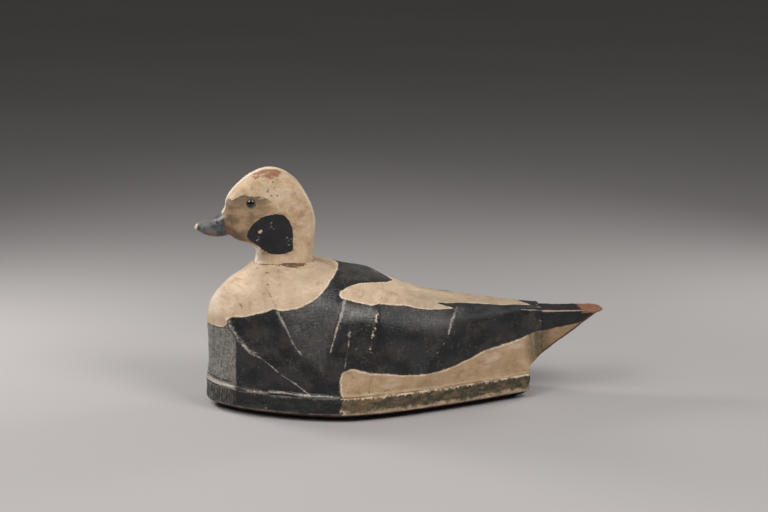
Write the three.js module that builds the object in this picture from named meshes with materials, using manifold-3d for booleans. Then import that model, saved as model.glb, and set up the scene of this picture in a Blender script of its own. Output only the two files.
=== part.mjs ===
// A long-tailed duck decoy: painted canvas drawn over a boat-shaped body, on a thick wooden
// bottom board, with a head carved from a plank, a wooden tail block and two glass eyes.
// Millimetres, +Z up. The bill points to -X and the bird's left side faces -Y. The origin is
// under the middle of the decoy, on the surface that it stands on.
import * as THREE from "three";
import { mergeVertices } from "three/addons/utils/BufferGeometryUtils.js";
import Module from "manifold-3d";

// Overall size
const LENGTH = 457;
const BILL_TIP_X = -LENGTH / 2;
const TAIL_TIP_X = LENGTH / 2;

// Plan of the body: a pointed oval, widest behind the breast and narrow at the stern
const BOW_X = -217;
const WIDEST_X = -70;
const STERN_X = 140;
const HALF_WIDTH = 94;
const STERN_HALF_WIDTH = 27;
const PLAN_FULLNESS = 1.3;
const PLAN_EASING = 0.14;
const BOW_ROUNDNESS = 1.8;

// Clearance left between two pieces that touch
const GAP = 0.3;

// Bottom board: an upright edge over a bevelled underside, which stands on its flat middle
const BEVEL_HEIGHT = 9;
const BOARD_TOP = 28;
const BEVEL_INSET = 17;
const BOARD_PROUD = 1.5;

// Canvas body
const SEAT_TOP = 160;
const SEAT_HALF_WIDTH = 27;
const SEAT_FRONT = [-172, -148];
const SEAT_BACK = [-99, -40];
const BOW_WALL_TOP = 88;
const SIDE_WALL_TOP = 82;
const BACK_ROUNDNESS = 2.2;
const WALL_LEAN = 3;
const STERN_WALL_LEAN = 8;
const STERN_LEAN_FROM = 20;
const LEAN_SHARE = 0.3;
const FLAT_SHARE = 0.94;
const TRANSOM_TOP = 38;
const TRANSOM_RAKE = 2;

// Middle line of the body, as [x, z]: over the breast to the seat, and from it down the back
const BREAST_LINE = [
  [BOW_X, BOW_WALL_TOP],
  [-215.5, 99],
  [-212.5, 111],
  [-207, 122.5],
  [-199, 133.5],
  [-188.5, 143.5],
  [-177, 151],
  [-166, 157],
  [-157, SEAT_TOP],
];
const BACK_LINE = [
  [-99, SEAT_TOP],
  [-70, 153.2],
  [-36, 147],
  [-12, 135.5],
  [9, 126.3],
  [40, 117.4],
  [91, 109.8],
  [157, 101.3],
];

// Tail block, whose underside carries on the slope of the canvas under the stern
const TAIL_SEAM_X = 157;
const TAIL_HALF_WIDTH = 17;
const TAIL_TOP = 98;
const TAIL_TIP_TOP = 96;
const TAIL_SEAM_BOTTOM = 48.5;

// Sections of the tail block, as [x, half-width, height of the underside]
const TAIL_SECTIONS = [
  [TAIL_SEAM_X + GAP, TAIL_HALF_WIDTH, TAIL_SEAM_BOTTOM],
  [219, TAIL_HALF_WIDTH, 93],
  [225, 14, 94.4],
  [TAIL_TIP_X, 8, 94.7],
];

// Head, carved from a plank: its outline seen from the side, as [x, z], from the bill's tip
// over the crown to the back of the neck, and from the bill's tip under the chin to the throat.
// The neck runs on past the body's top and is cut off where the two meet.
const HEAD_BACK = [
  [BILL_TIP_X, 199.5],
  [-226, 204.2],
  [-214, 208.2],
  [-202, 211.2],
  [-195, 219.5],
  [-193, 229.5],
  [-184.5, 242],
  [-169.5, 254.8],
  [-151, 263.5],
  [-134, 262.3],
  [-118, 252.3],
  [-104.8, 234.7],
  [-97, 213],
  [-96.3, 192],
  [-99, 173],
  [-100.5, 153],
];
const HEAD_FRONT = [
  [BILL_TIP_X, 199.5],
  [-226.2, 198],
  [-215.5, 191.8],
  [-204, 189.7],
  [-195, 190.3],
  [-191, 191.6],
  [-185, 189.3],
  [-177.5, 186.6],
  [-169, 183.6],
  [-163.6, 177.5],
  [-161, 170.5],
  [-161.8, 164],
  [-166, 153],
];

// Half-thickness of the head, as [share of the way from the bill's tip to the neck's end, mm]
const HEAD_THICKNESS = [
  [0, 2],
  [0.03, 7],
  [0.1, 10],
  [0.2, 10.5],
  [0.29, 12],
  [0.34, 18],
  [0.42, 22.5],
  [0.55, 25.5],
  [0.75, 25.5],
  [0.9, 25],
  [1, 27],
];
const BILL_SHARE = 0.31;
const BILL_PART_OF_BACK = 0.112;
const BILL_PART_OF_FRONT = 0.43;
const BILL_SQUARENESS = 2.1;
const HEAD_SQUARENESS = 2.9;
const FACE_SHARE = 0.1;
const CROWN_TAPER = 0.12;
const TAPERED_FROM = 0.5;
const TAPERED_TO = 0.8;

// Glass eyes, each a round stub with a domed front, in a drilled socket
const EYE_X = -168;
const EYE_Z = 228.5;
const EYE_RADIUS = 5;
const EYE_FLOOR_Y = 18.5;
const EYE_STUB = 3.6;
const EYE_DOME = 1.8;
const DRILL_LENGTH = 20;

// How finely the solids are cut
const BODY_STATIONS = 46;
const WALL_STEPS = 3;
const ARCH_STEPS = 11;
const HEAD_SECTIONS = 44;
const HEAD_POINTS = 26;
const EYE_SIDES = 20;
const EYE_RINGS = 4;
const CURVE_SAMPLES = 80;
const PLAN_SAMPLES = 400;
const WELD_DISTANCE = 1e-3;

const clamp = (value, low, high) => Math.min(high, Math.max(low, value));
const lerp = THREE.MathUtils.lerp;
const ease = (value, from, to) => THREE.MathUtils.smoothstep(value, from, to);

/** How far the plan has narrowed, 0 to 1, at a share of the way from the widest point. */
function narrowing(share) {
  const at = (d) => (d * d + PLAN_EASING ** 2) ** (PLAN_FULLNESS / 2);
  return clamp((at(share) - at(0)) / (at(1) - at(0)), 0, 1);
}

/** Half-width of the body in plan: a blunt oval in front and a long taper behind. */
function planHalfWidth(x) {
  if (x <= WIDEST_X) {
    const narrowed = narrowing((WIDEST_X - x) / (WIDEST_X - BOW_X));
    return HALF_WIDTH * (1 - narrowed) ** (1 / BOW_ROUNDNESS);
  }
  if (x <= STERN_X) {
    const narrowed = narrowing((x - WIDEST_X) / (STERN_X - WIDEST_X));
    return lerp(HALF_WIDTH, STERN_HALF_WIDTH, narrowed);
  }
  return lerp(STERN_HALF_WIDTH, TAIL_HALF_WIDTH, (x - STERN_X) / (TAIL_SEAM_X - STERN_X));
}

/** A smooth line through [x, z] points, as a curve in the middle plane. */
function smoothLine(points) {
  const places = points.map(([x, z]) => new THREE.Vector3(x, 0, z));
  return new THREE.CatmullRomCurve3(places, false, "centripetal");
}

const MIDDLE_LINES = [BREAST_LINE, BACK_LINE].map(smoothLine);
const BACK_PLACES = MIDDLE_LINES.flatMap((line) => line.getPoints(CURVE_SAMPLES));

/** Height of the middle of the back: the breast's curve, the level seat and the back's curve. */
function backHeight(x) {
  const after = BACK_PLACES.findIndex((place) => place.x >= x);
  if (after <= 0) return BACK_PLACES.at(after).z;
  const [from, to] = [BACK_PLACES[after - 1], BACK_PLACES[after]];
  return lerp(from.z, to.z, (x - from.x) / (to.x - from.x));
}

/** Half-width of the level strip along the middle: the neck's seat, and the stern's top. */
function flatHalfWidth(x) {
  const seat = ease(x, ...SEAT_FRONT) * (1 - ease(x, ...SEAT_BACK));
  return SEAT_HALF_WIDTH * seat + (TAIL_HALF_WIDTH - 1) * ease(x, 0, TAIL_SEAM_X);
}

/** Height of the body's lower edge: the board's top, then the slope under the stern. */
function bodyBottom(x) {
  const rakeEnd = STERN_X + TRANSOM_RAKE;
  const lowest = BOARD_TOP + GAP;
  if (x <= STERN_X) return lowest;
  if (x <= rakeEnd) return lerp(lowest, TRANSOM_TOP, (x - STERN_X) / TRANSOM_RAKE);
  return lerp(TRANSOM_TOP, TAIL_SEAM_BOTTOM, (x - rakeEnd) / (TAIL_SEAM_X - rakeEnd));
}

/** One side of the body's section at x: a wall, an arched shoulder and a level strip. */
function bodyHalfSection(x) {
  const low = planHalfWidth(x);
  const leaning = lerp(WALL_LEAN, STERN_WALL_LEAN, ease(x, STERN_LEAN_FROM, STERN_X));
  const leaned = low - Math.min(low * LEAN_SHARE, leaning);
  const high = Math.max(Math.min(low, TAIL_HALF_WIDTH), leaned);
  const flat = Math.min(flatHalfWidth(x), high * FLAT_SHARE);
  const bottom = bodyBottom(x);
  const top = backHeight(x);
  const forward = lerp(BOW_WALL_TOP, SIDE_WALL_TOP, ease(x, BOW_X, WIDEST_X));
  const wallTop = Math.min(top, lerp(forward, TAIL_TOP, ease(x, WIDEST_X, TAIL_SEAM_X)));
  const points = [];
  for (let i = 0; i < WALL_STEPS; i++) {
    const share = i / WALL_STEPS;
    points.push(new THREE.Vector2(lerp(low, high, share), lerp(bottom, wallTop, share)));
  }
  for (let i = 0; i < ARCH_STEPS; i++) {
    const angle = (i / (ARCH_STEPS - 1)) * (Math.PI / 2);
    const across = Math.max(0, Math.cos(angle)) ** (2 / BACK_ROUNDNESS);
    const up = Math.sin(angle) ** (2 / BACK_ROUNDNESS);
    points.push(new THREE.Vector2(lerp(flat, high, across), lerp(wallTop, top, up)));
  }
  points.push(new THREE.Vector2(0, top));
  return points;
}

/** The same line with a given number of equal steps along it. */
function evenlySpaced(points, steps) {
  const along = [0];
  for (let i = 1; i < points.length; i++)
    along.push(along[i - 1] + points[i].distanceTo(points[i - 1]));
  const total = along.at(-1);
  const result = [];
  let i = 1;
  for (let k = 0; k <= steps; k++) {
    const wanted = (total * k) / steps;
    while (i < points.length - 1 && along[i] < wanted) i++;
    const share = (wanted - along[i - 1]) / (along[i] - along[i - 1] || 1);
    result.push(points[i - 1].clone().lerp(points[i], clamp(share, 0, 1)));
  }
  return result;
}

/** Stations along X, close together where the plan turns fast at the bow. */
function planStations(count) {
  const line = [];
  for (let i = 0; i <= PLAN_SAMPLES; i++) {
    const x = lerp(BOW_X, STERN_X, (i / PLAN_SAMPLES) ** 2);
    line.push(new THREE.Vector2(x, planHalfWidth(x)));
  }
  return evenlySpaced(line, count).map((point) => point.x);
}

/** Whether a ring encloses no area, so that the solid ends there in an edge or a point. */
function isCollapsed(ring) {
  const area = new THREE.Vector3();
  const cross = new THREE.Vector3();
  ring.forEach((point, i) => area.add(cross.crossVectors(point, ring[(i + 1) % ring.length])));
  return area.length() < WELD_DISTANCE ** 2;
}

/** Closed solid through rings of points that all run the same way round. */
function loft(rings) {
  const size = rings[0].length;
  const positions = rings.flat().flatMap((point) => [point.x, point.y, point.z]);
  const triangles = [];
  for (let r = 0; r + 1 < rings.length; r++) {
    for (let k = 0; k < size; k++) {
      const a = r * size + k;
      const b = r * size + ((k + 1) % size);
      triangles.push([a, b, a + size], [b, b + size, a + size]);
    }
  }
  for (const [ring, isLast] of [[0, false], [rings.length - 1, true]]) {
    if (isCollapsed(rings[ring])) continue;
    const centre = rings[ring]
      .reduce((sum, point) => sum.add(point), new THREE.Vector3())
      .divideScalar(size);
    const hub = positions.length / 3;
    positions.push(centre.x, centre.y, centre.z);
    for (let k = 0; k < size; k++) {
      const a = ring * size + k;
      const b = ring * size + ((k + 1) % size);
      triangles.push(isLast ? [a, b, hub] : [b, a, hub]);
    }
  }
  return weldedSolid(positions, triangles);
}

/** Geometry with shared corners merged, collapsed triangles dropped and faces pointing out. */
function weldedSolid(positions, triangles) {
  const loose = new THREE.BufferGeometry();
  loose.setAttribute("position", new THREE.Float32BufferAttribute(positions, 3));
  loose.setIndex(triangles.flat());
  const welded = mergeVertices(loose, WELD_DISTANCE);
  const index = welded.index.array;
  const at = (i) => new THREE.Vector3().fromBufferAttribute(welded.attributes.position, i);
  const kept = [];
  let volume = 0;
  for (let i = 0; i < index.length; i += 3) {
    const [a, b, c] = [index[i], index[i + 1], index[i + 2]];
    if (a === b || b === c || c === a) continue;
    volume += at(a).dot(at(b).cross(at(c)));
    kept.push([a, b, c]);
  }
  welded.setIndex(kept.flatMap(([a, b, c]) => (volume < 0 ? [a, c, b] : [a, b, c])));
  return welded;
}

/** The body's closed ring at x: up the left side, over the back and down the right side. */
function bodyRing(x) {
  const half = bodyHalfSection(x);
  const left = half.map((point) => new THREE.Vector3(x, -point.x, point.y));
  const right = half.slice(0, -1).map((point) => new THREE.Vector3(x, point.x, point.y));
  return [...left, ...right.reverse()];
}

function canvasBodyGeometry() {
  const rakeEnd = STERN_X + TRANSOM_RAKE;
  const overhang = [rakeEnd, (rakeEnd + TAIL_SEAM_X) / 2, TAIL_SEAM_X];
  return loft([...planStations(BODY_STATIONS), ...overhang].map(bodyRing));
}

/** The board's outline, grown by some millimetres along its own normal, at one height. */
function boardRing(grow, z) {
  const stations = planStations(BODY_STATIONS);
  const left = stations.map((x) => new THREE.Vector2(x, -planHalfWidth(x)));
  const right = stations.map((x) => new THREE.Vector2(x, planHalfWidth(x))).reverse();
  const outline = [...left, ...right.slice(0, -1)];
  return outline.map((point, i) => {
    const before = outline[(i + outline.length - 1) % outline.length];
    const after = outline[(i + 1) % outline.length];
    const first = point.clone().sub(before).normalize();
    const second = after.clone().sub(point).normalize();
    const normal = new THREE.Vector2(first.y + second.y, -first.x - second.x).normalize();
    const reach = grow / Math.max(0.5, normal.dot(new THREE.Vector2(first.y, -first.x)));
    return new THREE.Vector3(point.x - normal.x * reach, point.y - normal.y * reach, z);
  });
}

function bottomBoardGeometry() {
  return loft([
    boardRing(BEVEL_INSET, 0),
    boardRing(-BOARD_PROUD, BEVEL_HEIGHT),
    boardRing(-BOARD_PROUD, BOARD_TOP),
  ]);
}

/** One square section of the tail block. */
function tailRing([x, half, bottom]) {
  const top = lerp(TAIL_TOP, TAIL_TIP_TOP, (x - TAIL_SEAM_X) / (TAIL_TIP_X - TAIL_SEAM_X));
  return [
    [-half, bottom],
    [-half, top],
    [half, top],
    [half, bottom],
  ].map(([y, z]) => new THREE.Vector3(x, y, z));
}

function tailBlockGeometry() {
  return loft(TAIL_SECTIONS.map(tailRing));
}

/** Value at a share, eased between the listed [share, value] pairs. */
function valueAlong(pairs, share) {
  const next = pairs.findIndex(([at]) => at >= share);
  if (next <= 0) return pairs[Math.max(next, 0)][1];
  const [[from, low], [to, high]] = [pairs[next - 1], pairs[next]];
  return lerp(low, high, ease(share, from, to));
}

/** Share of an outline's length for a section, when the bill takes a given part of it. */
function outlineShare(share, billPart) {
  if (share < BILL_SHARE) return (share / BILL_SHARE) * billPart;
  return lerp(billPart, 1, (share - BILL_SHARE) / (1 - BILL_SHARE));
}

/** One closed section of the carved head, between its back and front outlines. */
function headRing(share, backLine, frontLine) {
  const back = backLine.getPointAt(outlineShare(share, BILL_PART_OF_BACK));
  const front = frontLine.getPointAt(outlineShare(share, BILL_PART_OF_FRONT));
  const towardsFace = ease(share, BILL_SHARE, BILL_SHARE + FACE_SHARE);
  const squareness = lerp(BILL_SQUARENESS, HEAD_SQUARENESS, towardsFace);
  const thickness = valueAlong(HEAD_THICKNESS, share);
  const tapered = ease(share, BILL_SHARE, TAPERED_FROM) * (1 - ease(share, TAPERED_TO, 1));
  const ring = [];
  for (let k = 0; k < HEAD_POINTS; k++) {
    const angle = (2 * Math.PI * k) / HEAD_POINTS;
    const along = Math.sign(Math.cos(angle)) * Math.abs(Math.cos(angle)) ** (2 / squareness);
    const across = Math.sign(Math.sin(angle)) * Math.abs(Math.sin(angle)) ** (2 / squareness);
    const point = front.clone().lerp(back, (1 + along) / 2);
    point.y = thickness * across * (1 - CROWN_TAPER * tapered * along);
    ring.push(point);
  }
  return ring;
}

function headBlankGeometry() {
  const backLine = smoothLine(HEAD_BACK);
  const frontLine = smoothLine(HEAD_FRONT);
  const rings = [];
  for (let s = 0; s <= HEAD_SECTIONS; s++)
    rings.push(headRing(s / HEAD_SECTIONS, backLine, frontLine));
  return loft(rings);
}

/** A round solid turned about Y, on the given side of the head, from [radius, y] pairs. */
function turnedAboutY(profile, side) {
  const points = profile.map(([radius, y]) => new THREE.Vector2(radius, y));
  const geometry = new THREE.LatheGeometry(points, EYE_SIDES);
  if (side < 0) geometry.rotateX(Math.PI);
  return geometry.translate(EYE_X, 0, EYE_Z);
}

function eyeGeometry(side) {
  const floor = EYE_FLOOR_Y + GAP;
  const profile = [[0, floor], [EYE_RADIUS, floor]];
  for (let i = 0; i <= EYE_RINGS; i++) {
    const angle = (i / EYE_RINGS) * (Math.PI / 2);
    const radius = i === EYE_RINGS ? 0 : EYE_RADIUS * Math.cos(angle);
    profile.push([radius, floor + EYE_STUB + EYE_DOME * Math.sin(angle)]);
  }
  return turnedAboutY(profile, side);
}

const wasm = await Module();
wasm.setup();

function solidOf(geometry) {
  const bare = geometry.clone();
  for (const name of ["normal", "uv"]) bare.deleteAttribute(name);
  const welded = mergeVertices(bare, WELD_DISTANCE);
  return new wasm.Manifold(
    new wasm.Mesh({
      numProp: 3,
      vertProperties: welded.attributes.position.array,
      triVerts: new Uint32Array(welded.index.array),
    }),
  );
}

function geometryOf(solid) {
  const mesh = solid.getMesh();
  const geometry = new THREE.BufferGeometry();
  geometry.setAttribute("position", new THREE.BufferAttribute(mesh.vertProperties, 3));
  geometry.setIndex(new THREE.BufferAttribute(mesh.triVerts, 1));
  return geometry;
}

/** The carved head with its two eye sockets drilled and its neck cut to sit on the body. */
function headGeometry() {
  const radius = EYE_RADIUS + GAP;
  const beyond = EYE_FLOOR_Y + DRILL_LENGTH;
  const socket = [[0, EYE_FLOOR_Y], [radius, EYE_FLOOR_Y], [radius, beyond], [0, beyond]];
  const seat = solidOf(canvasBodyGeometry().translate(0, 0, GAP));
  let head = solidOf(headBlankGeometry()).subtract(seat);
  for (const side of [-1, 1]) head = head.subtract(solidOf(turnedAboutY(socket, side)));
  return geometryOf(head);
}

/** A named piece with a plain finish. */
function piece(name, geometry, color, roughness) {
  geometry.computeVertexNormals();
  const material = new THREE.MeshStandardMaterial({ color, roughness, metalness: 0 });
  const mesh = new THREE.Mesh(geometry, material);
  mesh.name = name;
  return mesh;
}

const decoy = new THREE.Group();
decoy.add(
  piece("bottom_board", bottomBoardGeometry(), 0x36342a, 0.8),
  piece("canvas_body", canvasBodyGeometry(), 0x2b2a29, 0.75),
  piece("tail_block", tailBlockGeometry(), 0x2a2826, 0.75),
  piece("head", headGeometry(), 0xc9b494, 0.7),
  piece("eye_left", eyeGeometry(-1), 0x140d09, 0.08),
  piece("eye_right", eyeGeometry(1), 0x140d09, 0.08),
);

export default decoy;
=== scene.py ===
"""Dresses the long-tailed duck decoy: painted canvas body, board, carved head, tail block and eyes.

Sizes are in millimetres in the decoy's own frame, with the bill toward -X, the bird's left side
toward -Y and +Z up, and they become metres when a mesh is made.
"""

import logging
import math
from dataclasses import dataclass, field
from enum import Enum
from functools import partial, reduce

import bpy
import numpy as np
from mathutils import Matrix, Vector

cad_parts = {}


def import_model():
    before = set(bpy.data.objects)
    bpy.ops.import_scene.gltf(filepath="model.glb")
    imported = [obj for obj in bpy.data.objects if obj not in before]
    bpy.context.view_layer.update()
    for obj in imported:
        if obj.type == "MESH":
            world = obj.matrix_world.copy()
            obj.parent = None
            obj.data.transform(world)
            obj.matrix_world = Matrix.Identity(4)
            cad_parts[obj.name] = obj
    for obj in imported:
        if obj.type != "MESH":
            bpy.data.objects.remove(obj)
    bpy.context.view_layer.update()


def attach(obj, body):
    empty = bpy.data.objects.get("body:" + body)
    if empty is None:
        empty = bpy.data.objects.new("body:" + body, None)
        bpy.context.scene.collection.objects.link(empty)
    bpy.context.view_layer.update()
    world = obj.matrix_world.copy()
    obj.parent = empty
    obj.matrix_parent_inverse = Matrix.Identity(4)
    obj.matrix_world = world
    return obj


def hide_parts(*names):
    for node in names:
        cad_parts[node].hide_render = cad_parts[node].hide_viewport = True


LOG = logging.getLogger("decoy")
MM = 0.001
BODY = "root"

Array = np.ndarray
Colour = tuple[float, float, float]
Points = tuple[tuple[float, float], ...]


# Numbers and lines


def ease(value: Array | float, start: float, end: float) -> Array:
    """Smooth step from 0 at start to 1 at end: 3 t^2 - 2 t^3 of the share t in between.

    Args:
        value: Where to read the step.
        start: Value at which the step leaves 0.
        end: Value at which the step reaches 1.

    Returns:
        The step's height, between 0 and 1.
    """
    share = np.clip((np.asarray(value, float) - start) / (end - start), 0.0, 1.0)
    return share * share * (3.0 - 2.0 * share)


def blend(low: Array | float, high: Array | float, share: Array | float) -> Array:
    """Straight mix of two values: low at share 0 and high at share 1."""
    return low + (high - low) * np.asarray(share)


def smooth_line(points: Points, steps: int = 8) -> Array:
    """Open curve through the points: centripetal Catmull-Rom, with each end carried straight on.

    Args:
        points: The points that the curve passes through.
        steps: Stretches between one point and the next.

    Returns:
        The curve as an array of 2-D points.
    """
    line = np.asarray(points, float)
    if len(line) < 3:
        share = np.linspace(0.0, 1.0, steps + 1)[:, None]
        return line[0] + (line[1] - line[0]) * share
    padded = np.vstack([2 * line[0] - line[1], line, 2 * line[-1] - line[-2]])
    a, b, c, d = (padded[i : len(line) - 1 + i][:, None, :] for i in range(4))
    knots = [np.zeros((len(line) - 1, 1, 1))]
    for first, second in ((a, b), (b, c), (c, d)):
        gap = np.linalg.norm(second - first, axis=-1, keepdims=True)
        knots.append(knots[-1] + np.sqrt(np.maximum(gap, 1e-9)))
    ta, tb, tc, td = knots
    t = blend(tb, tc, np.linspace(0.0, 1.0, steps, endpoint=False)[None, :, None])
    ab = a + (b - a) * (t - ta) / (tb - ta)
    bc = b + (c - b) * (t - tb) / (tc - tb)
    cd = c + (d - c) * (t - tc) / (td - tc)
    abc = ab + (bc - ab) * (t - ta) / (tc - ta)
    bcd = bc + (cd - bc) * (t - tb) / (td - tb)
    curve = abc + (bcd - abc) * (t - tb) / (tc - tb)
    return np.vstack([curve.reshape(-1, 2), line[-1:]])


def along_line(line: Array, share: Array) -> Array:
    """Points at given shares of a line's length, by straight mixing between its points."""
    steps = np.linalg.norm(np.diff(line, axis=0), axis=1)
    reach = np.concatenate([[0.0], np.cumsum(steps)])
    wanted = np.clip(share, 0.0, 1.0) * reach[-1]
    return np.stack([np.interp(wanted, reach, line[:, i]) for i in range(line.shape[1])], -1)


def side_distance(at: Array, line: Array) -> Array:
    """Distance to an open line, positive on the right-hand side of the way that it runs.

    Each stretch gives the gap to its nearest point, the smallest gap wins, and the sign is the
    side of that stretch.

    Args:
        at: Array of 2-D places.
        line: The open line's points.

    Returns:
        One signed distance for each place.
    """
    best = np.full(at.shape[:-1], np.inf)
    side = np.ones(at.shape[:-1])
    for start, end in zip(line[:-1], line[1:]):
        edge = end - start
        offset = at - start
        share = np.clip((offset @ edge) / (edge @ edge), 0.0, 1.0)
        gap = np.linalg.norm(offset - share[..., None] * edge, axis=-1)
        turn = offset[..., 0] * edge[1] - offset[..., 1] * edge[0]
        nearer = gap < best
        best = np.where(nearer, gap, best)
        side = np.where(nearer, np.where(turn >= 0, 1.0, -1.0), side)
    return best * side


def region_distance(at: Array, outline: Array) -> Array:
    """Distance to a closed outline, negative inside it, by counting the edges crossed.

    Args:
        at: Array of 2-D places.
        outline: The closed outline's points, without the first one repeated.

    Returns:
        One signed distance for each place.
    """
    best = np.full(at.shape[:-1], np.inf)
    inside = np.zeros(at.shape[:-1], bool)
    for start, end in zip(outline, np.roll(outline, -1, axis=0)):
        edge = end - start
        length = edge @ edge
        if length < 1e-12:
            continue
        offset = at - start
        share = np.clip((offset @ edge) / length, 0.0, 1.0)
        best = np.minimum(best, np.linalg.norm(offset - share[..., None] * edge, axis=-1))
        if abs(edge[1]) > 1e-9:
            straddles = (start[1] > at[..., 1]) != (end[1] > at[..., 1])
            crossing = start[0] + (at[..., 1] - start[1]) * edge[0] / edge[1]
            inside ^= straddles & (at[..., 0] < crossing)
    return np.where(inside, -best, best)


def outline_of(*strokes: Points) -> Array:
    """Closed outline of smooth strokes joined end to end, with a corner at each join."""
    return np.vstack([smooth_line(stroke)[:-1] for stroke in strokes])


def lumps(places: Array, size: float, seed: int, waves: int = 14) -> Array:
    """Gentle unevenness: the mean of sine waves of random direction and phase, about -1 to 1.

    Args:
        places: Array of 3-D places in millimetres.
        size: Rough distance from one lump to the next.
        seed: Seed of the random directions, so that each run gives the same lumps.
        waves: How many sine waves are added up.

    Returns:
        One value for each place.
    """
    rng = np.random.default_rng(seed)
    total = np.zeros(places.shape[:-1])
    for _ in range(waves):
        direction = rng.normal(size=3)
        direction *= 2 * math.pi / (size * rng.uniform(0.7, 1.5) * np.linalg.norm(direction))
        total += np.sin(places @ direction + rng.uniform(0.0, 2 * math.pi))
    return total / math.sqrt(waves)


# Meshes


def grid_normals(rings: Array) -> Array:
    """Unit normals of a grid of rings, from the cross product of its two directions.

    Args:
        rings: Places of shape (rings, points of a ring, 3), where a ring closes on itself.

    Returns:
        Normals of the same shape, pointing out of the solid.
    """
    along = np.gradient(rings, axis=0)
    around = np.roll(rings, -1, axis=1) - np.roll(rings, 1, axis=1)
    normal = np.cross(around, along)
    normal /= np.maximum(np.linalg.norm(normal, axis=-1, keepdims=True), 1e-9)
    middle = rings.mean(axis=1, keepdims=True)
    outward = np.sign(np.sum(normal * (rings - middle)))
    return normal * (outward or 1.0)


def ring_faces(rings: int, points: int) -> Array:
    """Quads between neighbouring rings, and across both end rings.

    A ring is the same on both sides of the middle plane, so point k faces point -1 - k, and
    each end is closed by quads from one side to the other.

    Args:
        rings: Number of rings.
        points: Number of points in each ring, an even number.

    Returns:
        An array of faces with four corners each.
    """
    ring, point = np.meshgrid(np.arange(rings - 1), np.arange(points), indexing="ij")
    following = (point + 1) % points
    here, there = ring * points, (ring + 1) * points
    sides = np.stack([here + point, here + following, there + following, there + point], -1)
    k = np.arange(points // 2 - 1)
    across = np.stack([points - 1 - k, points - 2 - k, k + 1, k], -1)
    return np.vstack([sides.reshape(-1, 4), across, across[:, ::-1] + (rings - 1) * points])


def both_sides(left: Array) -> Array:
    """Rings from their left halves: each half and then its mirror image in the middle plane."""
    return np.concatenate([left, left[:, ::-1] * np.array([1.0, -1.0, 1.0])], axis=1)


class Piece:
    """A finished mesh of the decoy, with its named values for the shader."""

    def __init__(self, name: str, rings: Array, crease_degrees: float = 40.0) -> None:
        """Makes the mesh object.

        Args:
            name: Name of the piece.
            rings: Places in millimetres, of shape (rings, points of a ring, 3).
            crease_degrees: Angle between faces past which an edge is shaded sharp.
        """
        faces = ring_faces(rings.shape[0], rings.shape[1])
        corners = rings.reshape(-1, 3)
        if self._turned_in(corners, faces):
            faces = faces[:, ::-1]
        mesh = bpy.data.meshes.new(name)
        mesh.from_pydata((corners * MM).tolist(), [], faces.tolist())
        mesh.validate()
        mesh.polygons.foreach_set("use_smooth", np.ones(len(mesh.polygons), bool))
        mesh.set_sharp_from_angle(angle=math.radians(crease_degrees))
        mesh.update()
        self.object = bpy.data.objects.new(name, mesh)
        bpy.context.scene.collection.objects.link(self.object)

    @staticmethod
    def _turned_in(corners: Array, faces: Array) -> bool:
        """Whether the faces point inwards: the signed volume under them is negative."""
        a, b, c, d = (corners[faces[:, i]] for i in range(4))
        volume = np.einsum("ij,ij->i", a, np.cross(b, c)) + np.einsum("ij,ij->i", a, np.cross(c, d))
        return float(volume.sum()) < 0.0

    def value(self, name: str, values: Array) -> None:
        """Stores one number for each vertex under a name that the shader reads."""
        layer = self.object.data.attributes.new(name, "FLOAT", "POINT")
        layer.data.foreach_set("value", np.ascontiguousarray(values, np.float32).ravel())

    def vector(self, name: str, values: Array) -> None:
        """Stores one vector for each vertex under a name that the shader reads."""
        layer = self.object.data.attributes.new(name, "FLOAT_VECTOR", "POINT")
        layer.data.foreach_set("vector", np.ascontiguousarray(values, np.float32).ravel())

    def place(self, material: bpy.types.Material, slot: str, *nodes: str) -> None:
        """Gives the piece its finish and sets it in the frame.

        Args:
            material: The piece's material.
            slot: Name of a material slot; not used.
            nodes: The frame's nodes that the piece stands for.
        """
        self.object.data.materials.append(material)
        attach(self.object, BODY)
        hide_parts(*nodes)
        LOG.info("%s: %d faces", self.object.name, len(self.object.data.polygons))


# Shape of the body


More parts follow.
